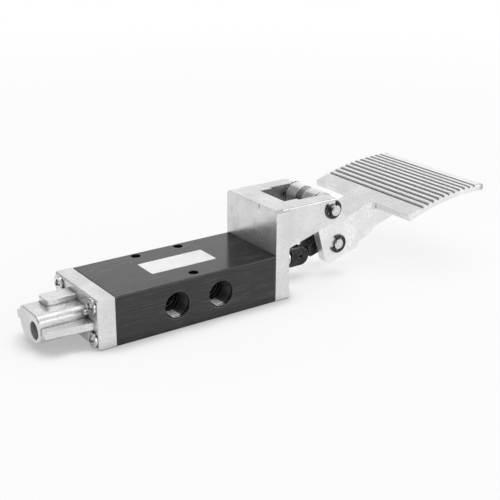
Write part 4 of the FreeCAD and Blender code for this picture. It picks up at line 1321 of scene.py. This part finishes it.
@dataclass
class CastPip:
    """The small domed pip that stands on the rear cap's plate beside its nose.

    Attributes:
        place: the middle of its foot, in metres.
        radius: its radius.
        flare: radius of its foot against its own.
        fillet: how far the flare reaches out of the plate.
        wall: how far its straight wall reaches.
        height: how far its dome reaches.
        dome: rings on the dome.
        rise: angle between two of them, in degrees.
        steps: points round it.
    """

    place: Triple = (-0.0484, -0.0103, 0.0142)
    radius: float = 0.0013
    flare: float = 1.15
    fillet: float = 0.00015
    wall: float = 0.0010
    height: float = 0.0021
    dome: int = 5
    rise: float = 16.0
    steps: int = 24

    def build(self) -> None:
        """Builds the pip."""
        shape = bmesh.new()
        profile = [(self.radius * self.flare, 0.0), (self.radius, self.fillet),
                   (self.radius, self.wall)]
        for step in range(1, self.dome + 1):
            turn = math.radians(self.rise * step)
            profile.append((self.radius * math.cos(turn),
                            self.wall + (self.height - self.wall) * math.sin(turn)))
        join_rings(shape, [[shape.verts.new(Vector(self.place) + Vector((
            -reach, radius * math.cos(FULL_TURN * step / self.steps),
            radius * math.sin(FULL_TURN * step / self.steps))))
            for step in range(self.steps)] for radius, reach in profile])
        mesh_piece("cast_pip", shape, CAST_ALLOY, "valve")


class EndCastings:
    """The rear cap and the pedal bracket with the screws that hold them."""

    def build(self) -> None:
        """Dresses both castings and their screws, and adds the pip on the rear cap."""
        dress(CAST_ALLOY, "rear_cap")
        dress(BRACKET_ALLOY, "pedal_bracket")
        CastPip().build()
        dress(CAP_SCREW_STEEL, "rear_cap_screws", "bracket_screws")


@dataclass
class ReturnSpring:
    """The spring behind the spool, with closed end turns. It shortens as the spool moves in.

    Attributes:
        height: its axis above the bottom face, in metres.
        radius: from its axis to the middle of the wire.
        wire: thickness of the wire.
        turns: turns from end to end.
        closed: pitch of its end turns against the wire.
        fixed: X of the end that stays; not used.
        travel: how far its other end moves; not used.
        steps: points on a turn.
        around: points round the wire.
    """

    height: float = 0.011
    radius: float = 0.0038
    wire: float = 0.001
    turns: int = 7
    closed: float = 1.02
    fixed: float = -0.061
    travel: float = 0.0057
    steps: int = 32
    around: int = 10

    def reach(self, turn: float, length: float) -> float:
        """Gives how far the wire has come.

        Args:
            turn: turns from its start.
            length: from the wire's start to its end, along the axis.

        Returns:
            The distance along the axis.
        """
        closed = self.wire * self.closed
        free = (length - 2 * closed) / (self.turns - 2)
        last = max(0.0, turn - (self.turns - 1))
        return min(turn, 1.0) * closed + max(0.0, turn - 1.0 - last) * free + last * closed

    def build(self) -> None:
        """Builds the spring in place of its solid."""
        low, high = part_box("return_spring")
        length = high[0] - low[0] - self.wire
        shape = bmesh.new()
        rings = []
        for step in range(self.turns * self.steps + 1):
            turn = step / self.steps
            out = Vector((0.0, math.cos(FULL_TURN * turn), math.sin(FULL_TURN * turn)))
            middle = Vector((low[0] + self.wire / 2 + self.reach(turn, length), 0.0,
                             self.height)) + out * self.radius
            rings.append([shape.verts.new(middle + self.wire / 2 * (
                out * math.cos(FULL_TURN * index / self.around)
                + Vector((math.sin(FULL_TURN * index / self.around), 0.0, 0.0))))
                for index in range(self.around)])
        join_rings(shape, rings)
        spring = mesh_piece("coil_spring", shape, SPRING_WIRE, "valve")
        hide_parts("return_spring")
        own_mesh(spring)


class SpoolTrain:
    """The spool inside the block with its spring and seals, and the clevis on its rod."""

    def build(self) -> None:
        """Dresses what moves along the block's axis and what guides it."""
        dress(SPOOL_ALLOY, "spool")
        ReturnSpring().build()
        dress(BUSH_BRONZE, "rod_bush")
        dress(SEAT_PLASTIC, "spring_seat")
        dress(SPOOL_PIN_STEEL, "spool_pin")
        dress(SEAL_RUBBER, "spool_seals", "rod_seal")
        dress(BLACK_STEEL, "spool_clevis", "link")


class Treadle:
    """The pedal on its pivot, with the pin that drives the link."""

    def build(self) -> None:
        """Dresses the pedal and all that its two pins carry."""
        dress(PEDAL_ALLOY, "pedal")
        dress(PIVOT_STEEL, "pivot_pin")
        dress(LINK_PIN_STEEL, "link_pin")
        dress(WASHER_STEEL, "hub_washers")
        dress(SPACER_STEEL, "hub_spacer")
        dress(BLACK_STEEL, "pivot_clips", "link_clips", "link_washers")


# The studio


@dataclass(frozen=True)
class Lamp:
    """A soft lamp.

    Attributes:
        name: its name.
        place: where it hangs, in metres.
        aim: where it points.
        size: its width and height.
        power: its strength in watts.
    """

    name: str
    place: Triple
    aim: Triple
    size: Pair
    power: float

    def hang(self) -> None:
        """Hangs the lamp."""
        light = bpy.data.lights.new(self.name, "AREA")
        light.shape = "RECTANGLE"
        light.size, light.size_y = self.size
        light.energy = self.power
        lamp = bpy.data.objects.new(self.name, light)
        lamp.location = self.place
        aim = Vector(self.aim) - Vector(self.place)
        lamp.rotation_euler = aim.to_track_quat("-Z", "Y").to_euler()
        bpy.context.scene.collection.objects.link(lamp)


@dataclass(frozen=True)
class DarkWall:
    """A darker part of the surroundings, which shows in bright metal.

    Attributes:
        way: the way to its middle, of length 1.
        light: its brightness.
        spread: cosines of the angles where it ends and where it is darkest.
    """

    way: Triple
    light: float
    spread: Pair


@dataclass
class Studio:
    """The pale floor with a painted shadow round the valve's foot, the even light all round and
    the lamps.

    Attributes:
        reach: radius of the floor in metres.
        sides: corners of the floor's outline.
        drop: how far the floor lies under the valve, in metres.
        dull: the floor's roughness and how strongly it reflects.
        floor_level: brightness of the floor's colour.
        haze: how much plain white lies over the floor where it is seen.
        fade: distances from the valve between which the floor turns plain white, in metres.
        painted_shadow: how far the painted shadow round the valve's foot reaches, in metres.
        samples: how finely that shade is sampled.
        painted_shadow_open: how open the floor is where that painted shadow is full and where it
            ends.
        painted_shadow_levels: that painted shadow's brightness in the floor's colour and in the
            white over it.
        low_light: brightness of the surroundings at the horizon.
        high_light: brightness of the surroundings overhead.
        rise: heights of the sky between which the one turns into the other, on a sphere of 1.
        walls: the darker parts of the surroundings.
        lamps: the lamps.
    """

    reach: float = 8.0
    sides: int = 96
    drop: float = 0.00003
    dull: Pair = (0.9, 0.1)
    floor_level: float = 0.97
    haze: float = 0.74
    fade: Pair = (0.12, 0.9)
    painted_shadow: float = 0.010
    samples: int = 8
    painted_shadow_open: Pair = (0.45, 1.0)
    painted_shadow_levels: Pair = (0.75, 0.55)
    low_light: float = 1.0
    high_light: float = 0.5
    rise: Pair = (0.50, 0.80)
    walls: tuple[DarkWall, ...] = (
        DarkWall((-0.88, 0.05, 0.47), 0.12, (0.35, 0.74)),
        DarkWall((-0.25, 0.68, 0.69), 0.03, (0.93, 0.985)))
    lamps: tuple[Lamp, ...] = (
        Lamp("overhead", (-0.15, 0.05, 1.15), (0.04, 0.0, 0.0), (1.5, 1.5), 8.4),
        Lamp("side_box", (0.75, -0.85, 0.34), (0.03, 0.0, 0.02), (0.9, 0.5), 2.2))

    def floor_material(self) -> bpy.types.Material:
        """Builds the floor's material, with a painted shadow round the valve's foot, which turns
        plain white away from the valve.

        Returns:
            The material.
        """
        made = bpy.data.materials.new("pale_floor")
        made.use_nodes = True
        graph = Graph(made.node_tree)
        surface = made.node_tree.nodes["Principled BSDF"]
        for name, value in zip(("Roughness", "Specular IOR Level"), self.dull):
            surface.inputs[name].default_value = value
        # painted shadow round the valve's foot, in the floor's colour and in the white over it
        painted_shadow = graph.node("AmbientOcclusion", samples=self.samples)
        painted_shadow.inputs["Distance"].default_value = self.painted_shadow
        near = graph.ramp(painted_shadow.outputs["AO"], *self.painted_shadow_open)
        base_level, white_level = self.painted_shadow_levels
        graph.feed(surface.inputs["Base Color"], graph.mix(
            near, grey(self.floor_level * base_level), grey(self.floor_level)))
        rays = graph.node("LightPath").outputs
        seen = graph.math("MAXIMUM", rays["Is Camera Ray"], graph.math(
            "MAXIMUM", rays["Is Glossy Ray"], rays["Is Transmission Ray"]))
        away = graph.vector("LENGTH", graph.place())["Value"]
        blend = graph.node("MixShader")
        graph.feed(blend.inputs[0], graph.math(
            "MULTIPLY", seen, graph.ramp(away, *self.fade, self.haze, 1.0)))
        graph.feed(blend.inputs[1], surface.outputs[0])
        glow = graph.node("Emission")
        graph.feed(glow.inputs["Color"], graph.mix(near, grey(white_level), grey(1.0)))
        graph.feed(blend.inputs[2], glow.outputs[0])
        output = made.node_tree.nodes["Material Output"]
        graph.feed(output.inputs["Surface"], blend.outputs[0])
        return made

    def floor(self) -> None:
        """Lays the round floor."""
        shape = bmesh.new()
        bmesh.ops.create_circle(shape, cap_ends=True, radius=self.reach, segments=self.sides)
        mesh = bpy.data.meshes.new("floor")
        shape.to_mesh(mesh)
        shape.free()
        mesh.materials.append(self.floor_material())
        floor = bpy.data.objects.new("floor", mesh)
        floor.location.z = -self.drop
        bpy.context.scene.collection.objects.link(floor)

    def surroundings(self) -> None:
        """Lights the world evenly, but for the darker walls; the camera sees plain white."""
        world = bpy.data.worlds.new("studio")
        world.use_nodes = True
        graph = Graph(world.node_tree)
        way = graph.node("TexCoord").outputs["Generated"]
        _, _, rise = graph.axes(way)
        light = graph.mix(graph.ramp(rise, *self.rise), grey(self.low_light),
                          grey(self.high_light))
        for wall in self.walls:
            facing = graph.vector("DOT_PRODUCT", way, wall.way)["Value"]
            light = graph.mix(graph.ramp(facing, *wall.spread), light, grey(wall.light))
        seen = graph.node("LightPath").outputs["Is Camera Ray"]
        sky = world.node_tree.nodes["Background"]
        graph.feed(sky.inputs["Color"], graph.mix(seen, light, grey(1.0)))
        bpy.context.scene.world = world

    def build(self) -> None:
        """Sets up floor, surroundings and lamps."""
        self.floor()
        self.surroundings()
        for lamp in self.lamps:
            lamp.hang()


@dataclass
class PhotoCamera:
    """The camera at the photograph's viewing angle.

    Attributes:
        place: where it stands, in metres.
        azimuth: degrees round the valve.
        elevation: degrees above the horizon.
        roll: degrees that the frame is turned.
        sensor: width of its sensor in millimetres.
        lens: focal length in millimetres on that sensor.
        clip: nearest and farthest distance that it sees, in metres.
    """

    place: Triple = (-0.21394, -0.35863, 0.18658)
    azimuth: float = -35.289
    elevation: float = 20.869
    roll: float = 0.394
    sensor: float = 36.0
    lens: float = 73.512
    clip: Pair = (0.01, 50.0)

    def set_up(self) -> None:
        """Puts up the camera and makes it the scene's own."""
        turn, tilt, roll = (math.radians(angle) for angle in
                            (self.azimuth, self.elevation, self.roll))
        back = Vector((math.sin(turn) * math.cos(tilt), -math.cos(turn) * math.cos(tilt),
                       math.sin(tilt)))
        right = (-back).cross(Vector((0.0, 0.0, 1.0))).normalized()
        up = right.cross(-back)
        rolled_right = right * math.cos(roll) + up * math.sin(roll)
        rolled_up = up * math.cos(roll) - right * math.sin(roll)
        data = bpy.data.cameras.new("camera")
        data.sensor_width = self.sensor
        data.lens = self.lens
        data.clip_start, data.clip_end = self.clip
        camera = bpy.data.objects.new("camera", data)
        turned = Matrix((rolled_right, rolled_up, back)).transposed()
        camera.matrix_world = Matrix.Translation(self.place) @ turned.to_4x4()
        bpy.context.scene.collection.objects.link(camera)
        bpy.context.scene.camera = camera


def main() -> None:
    """Builds the valve's pieces in order, then the studio and the camera."""
    logging.basicConfig(level=logging.INFO, format="%(name)s: %(message)s")
    for part in (ValveBlock(), EndCastings(), SpoolTrain(), Treadle()):
        part.build()
    Studio().build()
    PhotoCamera().set_up()
    bpy.context.scene.view_settings.view_transform = "Standard"


if __name__ == "__main__":
    main()
